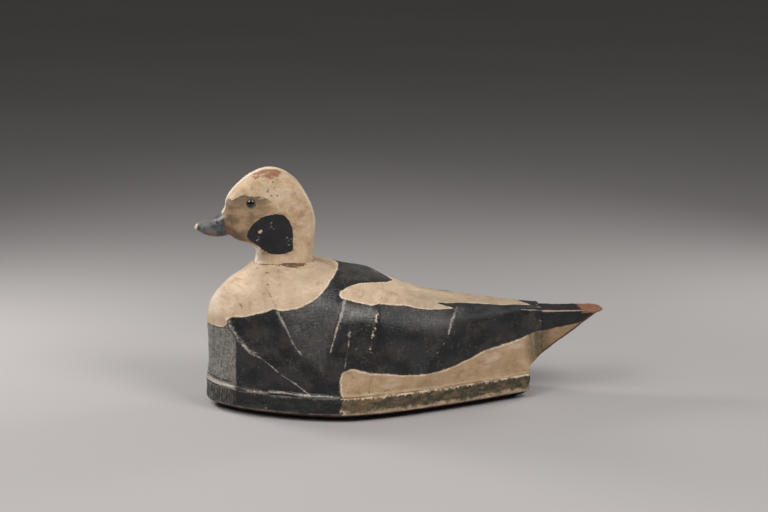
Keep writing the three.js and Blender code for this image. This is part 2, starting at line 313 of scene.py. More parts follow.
@dataclass(frozen=True)
class Hull:
    """Plan, back line and section of the body, the same as in the frame's solids."""

    bow_x: float = -217.0
    widest_x: float = -70.0
    stern_x: float = 140.0
    seam_x: float = 157.0
    half_width: float = 94.0
    stern_half_width: float = 27.0
    tail_half_width: float = 17.0
    fullness: float = 1.3
    easing: float = 0.14
    bow_roundness: float = 1.8
    board_top: float = 28.0
    gap: float = 0.3
    seat_top: float = 160.0
    seat_half_width: float = 27.0
    seat_front: tuple[float, float] = (-172.0, -148.0)
    seat_back: tuple[float, float] = (-99.0, -40.0)
    bow_wall_top: float = 88.0
    side_wall_top: float = 82.0
    breast_line: Points = (
        (-217, 88), (-215.5, 99), (-212.5, 111), (-207, 122.5), (-199, 133.5), (-188.5, 143.5),
        (-177, 151), (-166, 157), (-157, 160),
    )
    back_line: Points = (
        (-99, 160), (-70, 153.2), (-36, 147), (-12, 135.5), (9, 126.3), (40, 117.4), (91, 109.8),
        (157, 101.3),
    )
    back_roundness: float = 2.2
    wall_lean: float = 3.0
    stern_wall_lean: float = 8.0
    transom_top: float = 38.0
    transom_rake: float = 2.0
    tail_top: float = 98.0
    seam_bottom: float = 48.5

    def narrowing(self, share: Array) -> Array:
        """How far the plan has narrowed: the share to the power of the fullness, eased at 0."""
        power = self.fullness / 2
        start = (self.easing**2) ** power
        value = (share * share + self.easing**2) ** power
        return np.clip((value - start) / ((1 + self.easing**2) ** power - start), 0.0, 1.0)

    def plan_half_width(self, x: Array) -> Array:
        """Half-width in plan: a blunt oval ahead of the widest point and a taper behind it.

        Args:
            x: Stations along the decoy.

        Returns:
            The half-width at each station.
        """
        ahead = self.narrowing(np.clip((self.widest_x - x) / (self.widest_x - self.bow_x), 0, 1))
        behind = self.narrowing(np.clip((x - self.widest_x) / (self.stern_x - self.widest_x), 0, 1))
        oval = self.half_width * (1 - ahead) ** (1 / self.bow_roundness)
        taper = blend(self.half_width, self.stern_half_width, behind)
        overhang = np.clip((x - self.stern_x) / (self.seam_x - self.stern_x), 0, 1)
        stern = blend(self.stern_half_width, self.tail_half_width, overhang)
        return np.where(x <= self.widest_x, oval, np.where(x <= self.stern_x, taper, stern))

    def back_height(self, x: Array) -> Array:
        """Height of the back's middle: the breast's curve, the level seat, the back's curve.

        Args:
            x: Stations along the decoy.

        Returns:
            The height at each station.
        """
        line = np.vstack([smooth_line(self.breast_line), smooth_line(self.back_line)])
        return np.interp(x, line[:, 0], line[:, 1])

    def bottom_height(self, x: Array) -> Array:
        """Height of the lower edge: level on the board, then the slope under the stern."""
        rake_end = self.stern_x + self.transom_rake
        places = [self.bow_x, self.stern_x, rake_end, self.seam_x]
        lowest = self.board_top + self.gap
        return np.interp(x, places, [lowest, lowest, self.transom_top, self.seam_bottom])

    def flat_half_width(self, x: Array) -> Array:
        """Half-width of the level strip along the middle: the neck's seat and the stern's top."""
        seat = ease(x, *self.seat_front) * (1 - ease(x, *self.seat_back))
        stern = ease(x, 0, self.seam_x)
        return self.seat_half_width * seat + (self.tail_half_width - 1) * stern

    def half_sections(self, x: Array, wall_share: Array, arch_share: Array) -> Array:
        """Half of the section at each station: a leaning wall, an arch and a level strip.

        The arch is a quarter superellipse from the wall's top to the level strip's edge.

        Args:
            x: Stations along the decoy.
            wall_share: Shares of the way up the wall.
            arch_share: Shares of the way along the arch and the strip.

        Returns:
            Places (half-width, height) of shape (stations, steps, 2).
        """
        x = x[:, None]
        low = self.plan_half_width(x)
        leaning = blend(self.wall_lean, self.stern_wall_lean, ease(x, 20, self.stern_x))
        leaned = low - np.minimum(low * 0.3, leaning)
        high = np.maximum(np.minimum(low, self.tail_half_width), leaned)
        flat = np.minimum(self.flat_half_width(x), high * 0.94)
        bottom = self.bottom_height(x)
        top = self.back_height(x)
        ahead = ease(x, self.bow_x, self.widest_x)
        forward = blend(self.bow_wall_top, self.side_wall_top, ahead)
        behind = ease(x, self.widest_x, self.seam_x)
        wall_top = np.minimum(top, blend(forward, self.tail_top, behind))
        wall = np.stack([blend(low, high, wall_share), blend(bottom, wall_top, wall_share)], -1)
        arch_length = np.hypot(high - flat, top - wall_top) * 1.1 + 1e-6
        turn_share = arch_length / (arch_length + flat)
        turned = np.clip(arch_share / turn_share, 0, 1)
        angle = turned * math.pi / 2
        power = 2 / self.back_roundness
        across = blend(flat, high, np.clip(np.cos(angle), 0, 1) ** power)
        strip_share = np.maximum(1 - turn_share, 1e-9)
        across = across - flat * np.clip((arch_share - turn_share) / strip_share, 0, 1)
        arch = np.stack([across, blend(wall_top, top, np.sin(angle) ** power)], -1)
        return np.concatenate([wall, arch], axis=1)

    def stations(self, count: int) -> Array:
        """Stations spaced evenly along the plan's outline, from the bow to the stern.

        Args:
            count: Number of stations.

        Returns:
            Their places along X.
        """
        x = self.bow_x + (self.stern_x - self.bow_x) * np.linspace(0.0, 1.0, 2000) ** 2
        x[0] += 0.01
        reach = np.hypot(np.diff(x), np.diff(self.plan_half_width(x)))
        reach = np.concatenate([[0.0], np.cumsum(reach)])
        return np.interp(np.linspace(0.0, reach[-1], count), reach, x)


@dataclass(frozen=True)
class Fold:
    """A fold or lap of the canvas, as a ridge or valley along a line on the unrolled side.

    The line's points are (x, height along the surface above the board) from the bottom up. The
    ridge falls off by the exponential of minus the distance over its spread, toward the bow and
    toward the stern.
    """

    line: Points
    height: float
    spread_ahead: float
    spread_behind: float

    def raise_at(self, at: Array) -> Array:
        """Height of the fold at each unrolled place."""
        away = side_distance(at, smooth_line(self.line))
        spread = np.where(away >= 0, self.spread_behind, self.spread_ahead)
        return self.height * np.exp(-np.abs(away) / spread)


@dataclass(frozen=True)
class Ribbon:
    """A flat strip of canvas standing proud along a line, with soft edges."""

    line: Points
    height: float
    half_width: float
    softness: float = 0.9

    def raise_at(self, at: Array) -> Array:
        """Height at each unrolled place: full on the strip and stepping down past its edges."""
        away = np.abs(side_distance(at, smooth_line(self.line)))
        return self.height * (1 - ease(away, self.half_width, self.half_width + self.softness))


@dataclass(frozen=True)
class Swell:
    """A place where the canvas bulges or sinks, as a bell curve in two directions."""

    middle: tuple[float, float]
    reach: tuple[float, float]
    height: float

    def raise_at(self, at: Array) -> Array:
        """Height of the bulge at each unrolled place."""
        away = (at - np.array(self.middle)) / np.array(self.reach)
        return self.height * np.exp(-np.sum(away**2, axis=-1))


@dataclass(frozen=True)
class Rub:
    """A narrow line along which the paint is rubbed or soiled, strongest on the line itself.

    The offset moves it off the line, toward the stern where the line runs upward.
    """

    line: Points
    strength: float
    width: float
    offset: float = 0.0

    def strength_at(self, at: Array) -> Array:
        """Strength at each place: a bell curve of the distance over the width."""
        away = (side_distance(at, smooth_line(self.line)) - self.offset) / self.width
        return self.strength * np.exp(-(away**2))


@dataclass(frozen=True)
class Patch:
    """An area with a soft edge, such as canvas that is dustier than the rest."""

    outline: Points
    strength: float
    softness: float

    def strength_at(self, at: Array) -> Array:
        """Strength at each place, stepping smoothly over the outline's softness."""
        away = region_distance(at, np.asarray(self.outline, float))
        return self.strength * (1 - ease(away, -self.softness, self.softness))


def strongest(marks: tuple[Rub | Patch, ...], at: Array) -> Array:
    """The greatest strength of several rubs or patches at each place."""
    return np.max([mark.strength_at(at) for mark in marks], axis=0)


# Lines of the canvas, as (x, height along the surface), from the bottom up
GORE_FOLD: Points = (
    (-187, 2), (-187.2, 33), (-187.5, 55), (-194, 72), (-200.4, 80), (-199.9, 91), (-199, 104),
    (-196, 122),
)
BREAST_LAP: Points = (
    (-111, 2), (-115.3, 5.8), (-122, 10.7), (-130.5, 16.4), (-138.7, 21.5), (-146.7, 27.4),
    (-154.7, 33.3), (-161, 37.9), (-167.4, 41.8), (-173.6, 44.9), (-178.3, 50.2), (-183.5, 55.6),
    (-188.6, 63.8), (-192.3, 69.8), (-194.1, 75),
)
SHOULDER_LAP: Points = (
    (-109, 24), (-111, 30), (-119.9, 46), (-126.7, 55.4), (-130.5, 62), (-134.9, 70.7),
    (-138.7, 80), (-144, 92),
)
BIB_FOLD: Points = (
    (-144, 92), (-146, 100), (-150.4, 107.4), (-154, 115.8), (-153.3, 123), (-155, 134),
)
SIDE_LAP: Points = (
    (-91, 1), (-92, 30), (-90.3, 50.3), (-87.1, 63.9), (-83.9, 74.8), (-80.6, 84.5), (-78.2, 93.7),
    (-76.6, 101.6), (-74, 108),
)
SHORT_DART: Points = ((-75, 33), (-73.3, 44), (-71.7, 52.7), (-70.9, 61.4), (-69, 69.2))
STITCHED_DART: Points = (
    (-48, 20), (-47, 48), (-44, 65), (-41, 77), (-38, 92), (-35, 101), (-31, 107), (-27, 139),
)
REAR_FOLD: Points = (
    (14, 18), (21.8, 31.5), (27.2, 38.6), (33.4, 46.6), (38, 55.4), (42.6, 63.2), (46.4, 71.6),
    (51, 78.5), (56, 88),
)
CANVAS_EDGE: Points = (
    (-217, 4.4), (-207, 4), (-197, 3.3), (-190.5, 1.6), (-187.5, -0.8), (-176, 0.8), (-162, 1.2),
    (-148, 2.2), (-117, 2.3), (-99, 1.8), (-81, 1.1), (-31, 1.0), (138, 1.0),
)
CANVAS_FOOT: Points = ((-225, 0.4), (-190, 0.4), (-110, 0.0), (-78, -3.0))
TAIL_JOIN: Points = ((155.5, 20), (155.5, 49), (154, 69), (152, 84))

# Edges of the cream paint, on the same unrolled side
BIB_EDGE: Points = (
    (-217, 66.5), (-208, 66), (-200.5, 67), (-196, 71.5), (-193, 78), (-177, 82), (-158, 89),
    (-148, 93), (-141, 92), (-129, 94), (-118, 98), (-104, 107), (-92, 121), (-81, 142),
    (-74, 164), (-71, 187),
)
STRIPE_FRONT: Points = ((-74, 107), (-77, 112), (-76.5, 119))
STRIPE_TOP: Points = ((-76.5, 119), (-64, 128), (-52, 133), (-41, 135), (-22, 143), (-7, 166))
STRIPE_FOOT: Points = (
    (51, 89), (31, 90), (15, 92), (-5, 97.5), (-20, 99), (-35, 100), (-43, 99), (-57, 103),
    (-74, 107),
)
STRIPE_TAIL: Points = (
    (145.5, 82.5), (140, 82.5), (131, 85.5), (122, 87.7), (109, 89.7), (90.5, 92.7), (73, 97.5),
    (48, 102), (33, 104.5),
)
STRIPE_WEDGE: Points = ((33, 104.5), (42, 97), (51, 89))
STERN_LINE: Points = (
    (131, 125), (132, 112), (134, 103), (137, 97.5), (140.5, 93), (143.5, 88.5), (145.5, 82.5),
)
FLANK_FRONT: Points = ((-79, -6), (-79, 1), (-80.5, 12), (-80, 22), (-77.5, 28.5))
FLANK_TOP: Points = (
    (-77.5, 28.5), (-71, 31), (-65, 31), (-56, 28.5), (-47, 26), (-29, 23.5), (-10, 20), (10, 19),
    (28, 19), (44, 22), (65, 27), (84, 34), (105, 37), (126, 41), (139, 44), (157, 47), (170, 49),
)


@dataclass
class CanvasBody:
    """The body: painted canvas over a frame, with its folds, laps and stitches."""

    hull: Hull = field(default_factory=Hull)
    station_count: int = 370
    wall_steps: int = 48
    arch_steps: int = 68
    overhang_steps: int = 18
    lump_height: float = 0.5
    lump_size: float = 30.0
    stitch_gap: float = 4.2
    stitch_offset: float = 1.5
    stitch_radius: float = 0.8
    stitch_height: float = 0.5
    fillet_height: float = 2.2
    fillet_reach: float = 3.5
    neck: tuple[float, float, float, float] = (-164.0, -99.0, 26.0, 9.0)
    wobble: tuple[float, float] = (1.6, 0.35)
    far_shift: float = 0.85
    far_shift_reach: float = 15.0
    far_shift_start: tuple[float, float] = (60.0, 100.0)
    stitch_wear: float = 0.5
    bare_stitches: tuple[float, float] = (47.0, 95.0)
    soiled_stitches: float = 102.0
    join_fade: float = 6.0
    folds: tuple[Fold | Ribbon | Swell, ...] = (
        Fold(GORE_FOLD, 1.3, 9.0, 12.0),
        Fold(BREAST_LAP, 1.1, 3.0, 6.0),
        Ribbon(BREAST_LAP[8:], 0.9, 1.9),
        Fold(SHOULDER_LAP[1:], 1.8, 2.0, 9.0),
        Fold(BIB_FOLD, 0.7, 8.0, 6.0),
        Fold(SIDE_LAP, 2.2, 1.3, 18.0),
        Fold(SHORT_DART, 1.3, 1.3, 4.0),
        Fold(STITCHED_DART[:6], 2.0, 12.0, 2.2),
        Fold(REAR_FOLD, 2.6, 14.0, 14.0),
        Fold(TAIL_JOIN, -0.6, 2.0, 2.0),
        Ribbon(CANVAS_EDGE, 0.8, 1.1, 1.2),
        Ribbon(CANVAS_FOOT, 1.2, 2.2, 1.4),
        Swell((-58, 90), (15, 12), 2.9),
        Swell((6, 84), (28, 18), 0.9),
        Swell((0, 46), (28, 18), -1.4),
        Swell((-140, 50), (18, 20), -1.2),
        Swell((-102, 70), (10, 24), -1.2),
        Swell((92, 60), (34, 14), -1.2),
        Swell((-209, 98), (8, 26), 1.8),
        Swell((106, 112), (26, 12), 1.2),
        Swell((-217, 38), (9, 30), -1.0),
    )
    rubbed: tuple[Rub, ...] = (
        Rub(BREAST_LAP[9:14], 0.5, 1.5),
        Rub(BREAST_LAP[11:], 0.3, 1.0, -2.2),
        Rub(SHOULDER_LAP[3:5], 0.42, 1.5),
        Rub(SHORT_DART[2:], 0.4, 1.1),
        Rub(STITCHED_DART[1:6], 0.48, 2.6, -1.2),
        Rub(REAR_FOLD[2:5], 0.55, 1.2),
        Rub(REAR_FOLD[4:7], 0.35, 1.2),
        Rub(TAIL_JOIN, 0.3, 2.4),
        Rub(((-63, 53), (-59, 56)), 0.45, 1.8),
    )
    # Grey rubbed lines along the folds and laps; the wide soft lines at the top of the side lap and on
    # the rear fold are painted highlights.
    grey_wear_and_highlight: tuple[Rub, ...] = (
        Rub(BREAST_LAP[:9], 0.8, 1.1),
        Rub(BREAST_LAP[8:], 0.8, 2.4),
        Rub(SHOULDER_LAP[2:8], 0.85, 1.4),
        Rub(SHOULDER_LAP[5:8], 0.9, 2.0),
        Rub(SIDE_LAP[2:], 0.95, 1.2, 0.6),
        Rub(SIDE_LAP[5:], 1.1, 1.9, 1.4),
        Rub(SHORT_DART, 0.7, 1.1),
        Rub(((-70.5, 64), (-69, 72)), 0.6, 3.0),
        Rub(REAR_FOLD[1:], 0.5, 1.2),
        Rub(REAR_FOLD[5:], 0.6, 3.0, -1.0),
        Rub(((-34, 173), (-25, 170), (-12, 163)), 1.1, 1.4),
        Rub(GORE_FOLD[:3], 0.5, 1.0, -1.0),
        Rub(CANVAS_EDGE[4:11], 1.0, 1.3),
        Rub(((132, 74), (143, 71.8), (157, 69.5)), 0.9, 1.0),
        Rub(((154, 74), (153.5, 92)), 0.6, 1.6),
    )
    # Pale worn ridges along the canvas's lower edge; the pale line beside the bib fold is a painted
    # highlight.
    ridge_wear_and_highlight: tuple[Rub, ...] = (
        Rub(CANVAS_EDGE[:5], 1.3, 2.7, 0.5),
        Rub(CANVAS_EDGE[5:8], 0.6, 1.2, -0.8),
        Rub(CANVAS_EDGE[11:], 0.95, 1.0, 0.2),
        Rub(BIB_FOLD[:4], 0.5, 1.4, 2.2),
    )
    soiled: tuple[Rub | Patch, ...] = (
        Rub(BIB_FOLD[:4], 0.45, 1.0),
        Rub(BIB_FOLD[2:], 0.42, 1.6, 2.4),
        Rub(((-154, 134.5), (-151, 135.5)), 0.9, 1.0),
        Rub(((-152.5, 126), (-151.8, 119)), 0.45, 2.6),
        Rub(((-179.5, 90.5), (-182, 96)), 0.42, 2.2),
        Rub(((-196, 84), (-190, 88)), 0.3, 3.0),
        Rub(BIB_EDGE, 0.4, 1.0),
        Rub(STRIPE_FOOT, 0.4, 1.0),
        Rub(FLANK_TOP, 0.45, 1.2),
        Rub(FLANK_FRONT, 0.45, 1.2),
        Rub(((-78, 3), (-70, 8), (-67, 22)), 0.42, 4.5),
        Rub(((-60, 5), (20, 5), (138, 5)), 0.3, 2.4),
        Rub(((-53, 3), (-52, 26)), 0.36, 1.4),
    )
    gouged: tuple[Rub | Patch, ...] = (
        Patch(
            (
                (-137, 154), (-132, 151), (-127, 149.6), (-119, 150.2),
                (-113, 155), (-108, 161), (-112, 168), (-138, 162),
            ),
            0.8,
            1.0,
        ),
        Rub(((-162, 142), (-150, 149), (-138, 153.5)), 0.62, 1.1),
    )
    # Dark lines beside the laps, darts and canvas edge: grime, and painted shadow beside raised folds,
    # as on the stern side of the stitched dart.
    shadow_and_grime: tuple[Rub, ...] = (
        Rub(SIDE_LAP[2:], 0.7, 1.3, -2.2),
        Rub(BREAST_LAP[4:14], 0.75, 1.3, -2.8),
        Rub(BREAST_LAP[9:14], 0.7, 1.2, 2.9),
        Rub(STITCHED_DART[1:8], 0.9, 1.3, 2.4),
        Rub(CANVAS_EDGE[:5], 0.8, 1.6, -4.2),
        Rub(CANVAS_EDGE[4:11], 0.6, 1.0, -2.6),
    )
    # Painted shade, in olive: the hollow where the stern meets the tail block (with grime there too),
    # the stripe toward the stern, the flank's foot and the top round the neck's seat.
    shaded: tuple[Patch, ...] = (
        Patch(((138, 66), (152, 62), (165, 58), (165, 6), (146, 6), (139, 20)), 0.75, 6.0),
        Patch(((147, 66), (165, 60), (165, 6), (152, 6), (146, 30)), 1.0, 3.5),
        Patch(((4, 96), (48, 88), (160, 66), (160, 130), (4, 130)), 0.42, 18.0),
        Patch(((-40, 10), (60, 12), (130, 30), (130, 8), (-40, 0)), 0.12, 6.0),
        Patch(((-170, 128), (-120, 120), (-92, 132), (-74, 165), (-74, 240), (-170, 240)), 0.2, 12.0),
    )
    # Painted light: paler cream over the breast's front and its upper outline.
    painted_breast_light: tuple[Patch, ...] = (
        Patch(((-225, 80), (-204, 80), (-203, 100), (-200, 118), (-225, 130)), 0.5, 5.0),
        Patch(
            (
                (-225, 100), (-204, 112), (-194, 128), (-182, 143),
                (-168, 160), (-160, 220), (-230, 220),
            ),
            0.5,
            6.0,
        ),
    )
    # A pale film on the black: dust, as on the gore ahead of the crease, and painted sheen on the
    # shoulder between the side lap and the stitched dart and on the wedge between the shoulder lap and
    # the side lap.
    dust_and_sheen: tuple[Patch, ...] = (
        Patch(((-225, 6), (-187.2, 2), (-187.6, 55), (-195, 76), (-225, 78)), 1.0, 1.2),
        Patch(((-76, 102), (-45, 99), (-42, 88), (-60, 84), (-76, 84)), 0.55, 5.0),
        Patch(((-146, 94), (-122, 48), (-100, 30), (-90, 52), (-78, 100), (-110, 112)), 0.2, 7.0),
        Patch(((-20, 100), (44, 92), (34, 62), (0, 70)), 0.22, 12.0),
        Patch(((-70, 190), (-75, 140), (-40, 138), (-14, 160), (-35, 200)), 0.2, 6.0),
    )

    def unrolled(self) -> tuple[Array, Array]:
        """The body's smooth surface and each place's address on the unrolled canvas.

        Returns:
            Rings of places, of shape (stations, points, 3), and the matching (x, height along
            the surface above the lower edge).
        """
        hull = self.hull
        rake_end = hull.stern_x + hull.transom_rake
        overhang = np.linspace(rake_end, hull.seam_x, self.overhang_steps)
        x = np.concatenate([hull.stations(self.station_count), overhang])
        wall = np.linspace(0.0, 1.0, self.wall_steps, endpoint=False)
        arch = (np.arange(self.arch_steps) + 0.5) / self.arch_steps
        arch = np.concatenate([[0.0], arch])
        half = hull.half_sections(x, wall, arch)
        along = np.broadcast_to(x[:, None], half.shape[:2])
        left = np.stack([along, -half[..., 0], half[..., 1]], -1)
        steps = np.linalg.norm(np.diff(left, axis=1), axis=-1)
        lifted = (hull.bottom_height(x) - hull.board_top)[:, None]
        up = lifted + np.concatenate([np.zeros((len(x), 1)), np.cumsum(steps, axis=1)], axis=1)
        rings = both_sides(left)
        address = np.stack([rings[..., 0], np.concatenate([up, up[:, ::-1]], axis=1)], -1)
        return rings, address

    def stitches(self, at: Array) -> Array:
        """How strongly a stitch shows: a thread that zigzags from side to side of the dart.

        Args:
            at: Addresses on the unrolled canvas.

        Returns:
            A value for each place, 1 in the middle of the thread.
        """
        line = smooth_line(STITCHED_DART)
        length = float(np.linalg.norm(np.diff(line, axis=0), axis=1).sum())
        count = int(length / self.stitch_gap)
        places = along_line(line, (np.arange(count) + 0.5) / count)
        places[:, 0] += self.stitch_offset * np.where(np.arange(count) % 2 == 0, 1.0, -1.0)
        away = side_distance(at, places) / self.stitch_radius
        return np.exp(-(away**2))

    def cream_distance(self, at: Array) -> Array:
        """Distance into the cream paint: the deepest of the bib, the two stripes and the flank.

        Args:
            at: Addresses on the unrolled canvas.

        Returns:
            Millimetres, positive inside the cream.
        """
        over = ((-71, 187), (-71, 400), (-300, 400), (-300, 66), (-217, 66))
        bib = region_distance(at, outline_of(BIB_EDGE, over[:2], over[1:3], over[2:4], over[3:]))
        beyond = (STRIPE_TOP[-1], (-7, 300), (131, 300), STERN_LINE[0])
        strokes = (STRIPE_FRONT, STRIPE_TOP, beyond[:2], beyond[1:3], beyond[2:])
        ends = (STERN_LINE, STRIPE_TAIL, STRIPE_WEDGE, STRIPE_FOOT)
        stripe = region_distance(at, outline_of(*strokes, *ends))
        under = ((170, 49), (170, -6), (-79, -6))
        flank = region_distance(at, outline_of(FLANK_FRONT, FLANK_TOP, under[:2], under[1:]))
        return -np.minimum(np.minimum(bib, stripe), flank)

    def neck_distance(self, rings: Array) -> Array:
        """Distance from the neck's foot, a rounded rectangle in plan, at the top of the body."""
        start, end, half, radius = self.neck
        x = np.abs(rings[..., 0] - (start + end) / 2) - (end - start) / 2 + radius
        y = np.abs(rings[..., 1]) - half + radius
        away = np.hypot(np.maximum(x, 0), np.maximum(y, 0)) - radius
        away += np.minimum(np.maximum(x, y), 0)
        return np.where(rings[..., 2] > self.hull.seat_top - 20, away, 99.0)

    def build(self, finish: bpy.types.Material) -> Piece:
        """Builds the body's mesh with its folds, and marks the paint on it.

        Args:
            finish: The painted canvas.

        Returns:
            The body.
        """
        rings, address = self.unrolled()
        wobble = np.stack([lumps(rings, 34.0, seed=5), lumps(rings, 27.0, seed=6)], -1)
        up, far_side = address[..., 1], rings[..., 1] > 0
        at = address + wobble * np.where(far_side, *self.wobble)[..., None]
        past_middle = np.where(far_side, up.max(axis=1, keepdims=True) - up, 0.0)
        shift = self.far_shift * np.clip(past_middle, 0, self.far_shift_reach)
        painted = at.copy()
        painted[..., 0] += shift * ease(rings[..., 0], *self.far_shift_start)
        raised = sum((fold.raise_at(at) for fold in self.folds), np.zeros(rings.shape[:2]))
        raised += self.lump_height * lumps(rings, self.lump_size, seed=3)
        stitched = self.stitches(at)
        raised += self.stitch_height * stitched
        to_neck = self.neck_distance(rings)
        raised += self.fillet_height * np.exp(-np.abs(to_neck) / self.fillet_reach)
        sunk = ease(rings[..., 0], self.hull.seam_x, self.hull.seam_x - self.join_fade)
        piece = Piece("canvas_body", rings + grid_normals(rings) * (raised * sunk)[..., None])
        flat = np.concatenate([address, np.sign(rings[..., 1:2])], axis=-1)
        piece.vector("unrolled", flat)
        piece.value("cream", self.cream_distance(painted))
        worn = self.stitch_wear * stitched
        bare = worn * ((up > self.bare_stitches[0]) & (up < self.bare_stitches[1]))
        piece.value("rubbed", np.maximum(strongest(self.rubbed, at), bare))
        soiled = worn * (up > self.soiled_stitches)
        piece.value("soiled", np.maximum(strongest(self.soiled, at), soiled))
        for name in ("grey_wear_and_highlight", "ridge_wear_and_highlight", "gouged", "shadow_and_grime", "shaded", "painted_breast_light", "dust_and_sheen"):
            piece.value(name, strongest(getattr(self, name), at))
        piece.place(finish, "painted_canvas", "canvas_body")
        return piece


@dataclass
class BottomBoard:
    """The thick wooden board under the canvas, with a bevelled underside."""

    hull: Hull = field(default_factory=Hull)
    around: int = 900
    bevel_height: float = 9.0
    bevel_inset: float = 17.0
    proud: float = 1.5
    top_radius: float = 1.4
    foot_radius: float = 1.0
    under_body: float = 5.0
    edge_steps: int = 14
    bevel_steps: int = 8
    uneven: float = 0.35

    def outline(self) -> tuple[Array, Array]:
        """The outline in plan, evenly spaced, and its normals.

        The left side runs from the bow to the stern and along half of the square end, and the
        right side is its mirror image.

        Returns:
            Places and outward normals of shape (points, 2).
        """
        x = self.hull.stations(1500)
        side = np.stack([x, -self.hull.plan_half_width(x)], -1)
        corner = np.array([[self.hull.stern_x, -self.hull.stern_half_width]])
        end = np.array([[self.hull.stern_x, 0.0]])
        half = self.around // 2
        line = np.vstack([side, corner, end])
        left = along_line(line, (np.arange(half) + 0.5) / half)
        places = np.vstack([left, left[::-1] * np.array([1.0, -1.0])])
        along = np.roll(places, -1, axis=0) - np.roll(places, 1, axis=0)
        along /= np.linalg.norm(along, axis=1, keepdims=True)
        return places, np.stack([along[:, 1], -along[:, 0]], -1)

    def profile(self) -> Array:
        """The edge's profile as (growth along the outline's normal, height), from below.

        It runs up the bevel, round the lower arris, up the edge and round the upper arris to the
        part that the canvas covers. Both arrises are quarter circles.
        """
        bevel = np.linspace(0.0, 1.0, self.bevel_steps)[:, None]
        foot = np.array([self.proud - self.foot_radius, self.bevel_height - 0.6 * self.foot_radius])
        lower = np.array([-self.bevel_inset, 0.0]) + (foot + [self.bevel_inset, 0.0]) * bevel
        turn = np.linspace(0.0, math.pi / 2, 5)[1:, None]
        start = np.array([self.proud - self.foot_radius, self.bevel_height + self.foot_radius])
        round_foot = start + self.foot_radius * np.hstack([np.sin(turn), -np.cos(turn)])
        top = self.hull.board_top
        edge_z = np.linspace(
            self.bevel_height + self.foot_radius, top - self.top_radius, self.edge_steps
        )[1:-1]
        edge = np.stack([np.full_like(edge_z, self.proud), edge_z], -1)
        centre = np.array([self.proud - self.top_radius, top - self.top_radius])
        turn = np.linspace(0.0, math.pi / 2, 7)[:, None]
        round_top = centre + self.top_radius * np.hstack([np.cos(turn), np.sin(turn)])
        inner = np.array([[-1.5, top], [-self.under_body, top]])
        return np.vstack([lower, round_foot, edge, round_top, inner])

    def build(self, finish: bpy.types.Material) -> Piece:
        """Builds the board and dresses it.

        Args:
            finish: The painted board.

        Returns:
            The board.
        """
        places, normals = self.outline()
        growth, height = self.profile().T
        grown = places[None] + normals[None] * growth[:, None, None]
        inward = np.minimum(growth, 0.0)[:, None]
        x = np.minimum(grown[..., 0], self.hull.stern_x + self.proud + inward)
        widest = np.maximum(self.hull.plan_half_width(x) + self.proud + inward, 0.5)
        inset = np.broadcast_to(growth[:, None] < -self.under_body, x.shape)
        y = np.where(inset, np.clip(grown[..., 1], -widest, widest), grown[..., 1])
        rings = np.stack([x, y, np.broadcast_to(height[:, None], x.shape)], -1)
        outward = np.pad(normals, ((0, 0), (0, 1)))
        edge = (height > self.bevel_height - 2)[:, None] & (growth > 0)[:, None]
        rough = self.uneven * (lumps(rings, 14.0, seed=8) + 0.5 * lumps(rings, 4.0, seed=9))
        rings = rings + outward * np.where(edge, rough, 0.0)[..., None]
        piece = Piece("bottom_board", rings)
        piece.place(finish, "painted_board", "bottom_board")
        return piece


def rounded_box_half(
    half_long: Array, half_wide: Array, radius: Array, counts: tuple[int, ...]
) -> Array:
    """Half of a rounded rectangle's outline, from its top middle over one side to its foot.

    It is made of half the top, a quarter circle, the side, a quarter circle and half the foot.

    Args:
        half_long: Half-length of each section, from the middle to the top.
        half_wide: Half-width of each section.
        radius: Radius of each section's corners.
        counts: Points on half the top, a corner, the side, a corner and half the foot.

    Returns:
        Places (along the length, across) of shape (sections, points, 2).
    """
    long, wide, r = (np.asarray(value, float)[:, None] for value in (half_long, half_wide, radius))
    top, corner, side, under, foot = ((np.arange(count) + 0.5) / count for count in counts)
    turn, back = corner * math.pi / 2, under * math.pi / 2
    parts = (
        (long + 0 * top, (wide - r) * top),
        (long - r + r * np.cos(turn), wide - r + r * np.sin(turn)),
        ((long - r) * (1 - 2 * side), wide + 0 * side),
        (r - long - r * np.sin(back), wide - r + r * np.cos(back)),
        (0 * foot - long, (wide - r) * (1 - foot)),
    )
    return np.stack([np.concatenate([part[i] for part in parts], axis=1) for i in (0, 1)], -1)


@dataclass
class TailBlock:
    """The wooden tail block: square in section, tapering to a blunt tip."""

    seam_x: float = 157.0
    tip_x: float = 228.5
    top: float = 98.0
    tip_top: float = 96.0
    stations: int = 150
    arris: float = 1.3
    uneven: float = 0.25
    sections: tuple[tuple[float, float, float], ...] = (
        (157.3, 17.0, 48.5), (219.0, 17.0, 93.0), (225.0, 14.0, 94.4), (228.5, 8.0, 94.7),
    )

    def build(self, finish: bpy.types.Material) -> Piece:
        """Builds the tail block and dresses it.

        Args:
            finish: The painted tail.

        Returns:
            The tail block.
        """
        table = np.array(self.sections)
        share = np.linspace(0.0, 1.0, self.stations)
        x = blend(table[0, 0], table[-1, 0], 1 - (1 - share) ** 1.4)
        half, bottom = (np.interp(x, table[:, 0], table[:, i]) for i in (1, 2))
        top = blend(self.top, self.tip_top, (x - self.seam_x) / (self.tip_x - self.seam_x))
        long, middle = (top - bottom) / 2, (top + bottom) / 2
        radius = np.minimum(self.arris, 0.8 * long)
        half_ring = rounded_box_half(long, half, radius, (10, 5, 34, 5, 10))
        z = middle[:, None] + half_ring[..., 0]
        x = np.broadcast_to(x[:, None], z.shape)
        rings = both_sides(np.stack([x, -half_ring[..., 1], z], -1))
        rough = self.uneven * (lumps(rings, 22.0, seed=21) + 0.6 * lumps(rings, 6.0, seed=22))
        rings = rings + grid_normals(rings) * rough[..., None]
        piece = Piece("tail_block", rings, crease_degrees=55.0)
        piece.place(finish, "painted_tail", "tail_block")
        return piece


EYE_PLACE = (-168.0, 228.5)


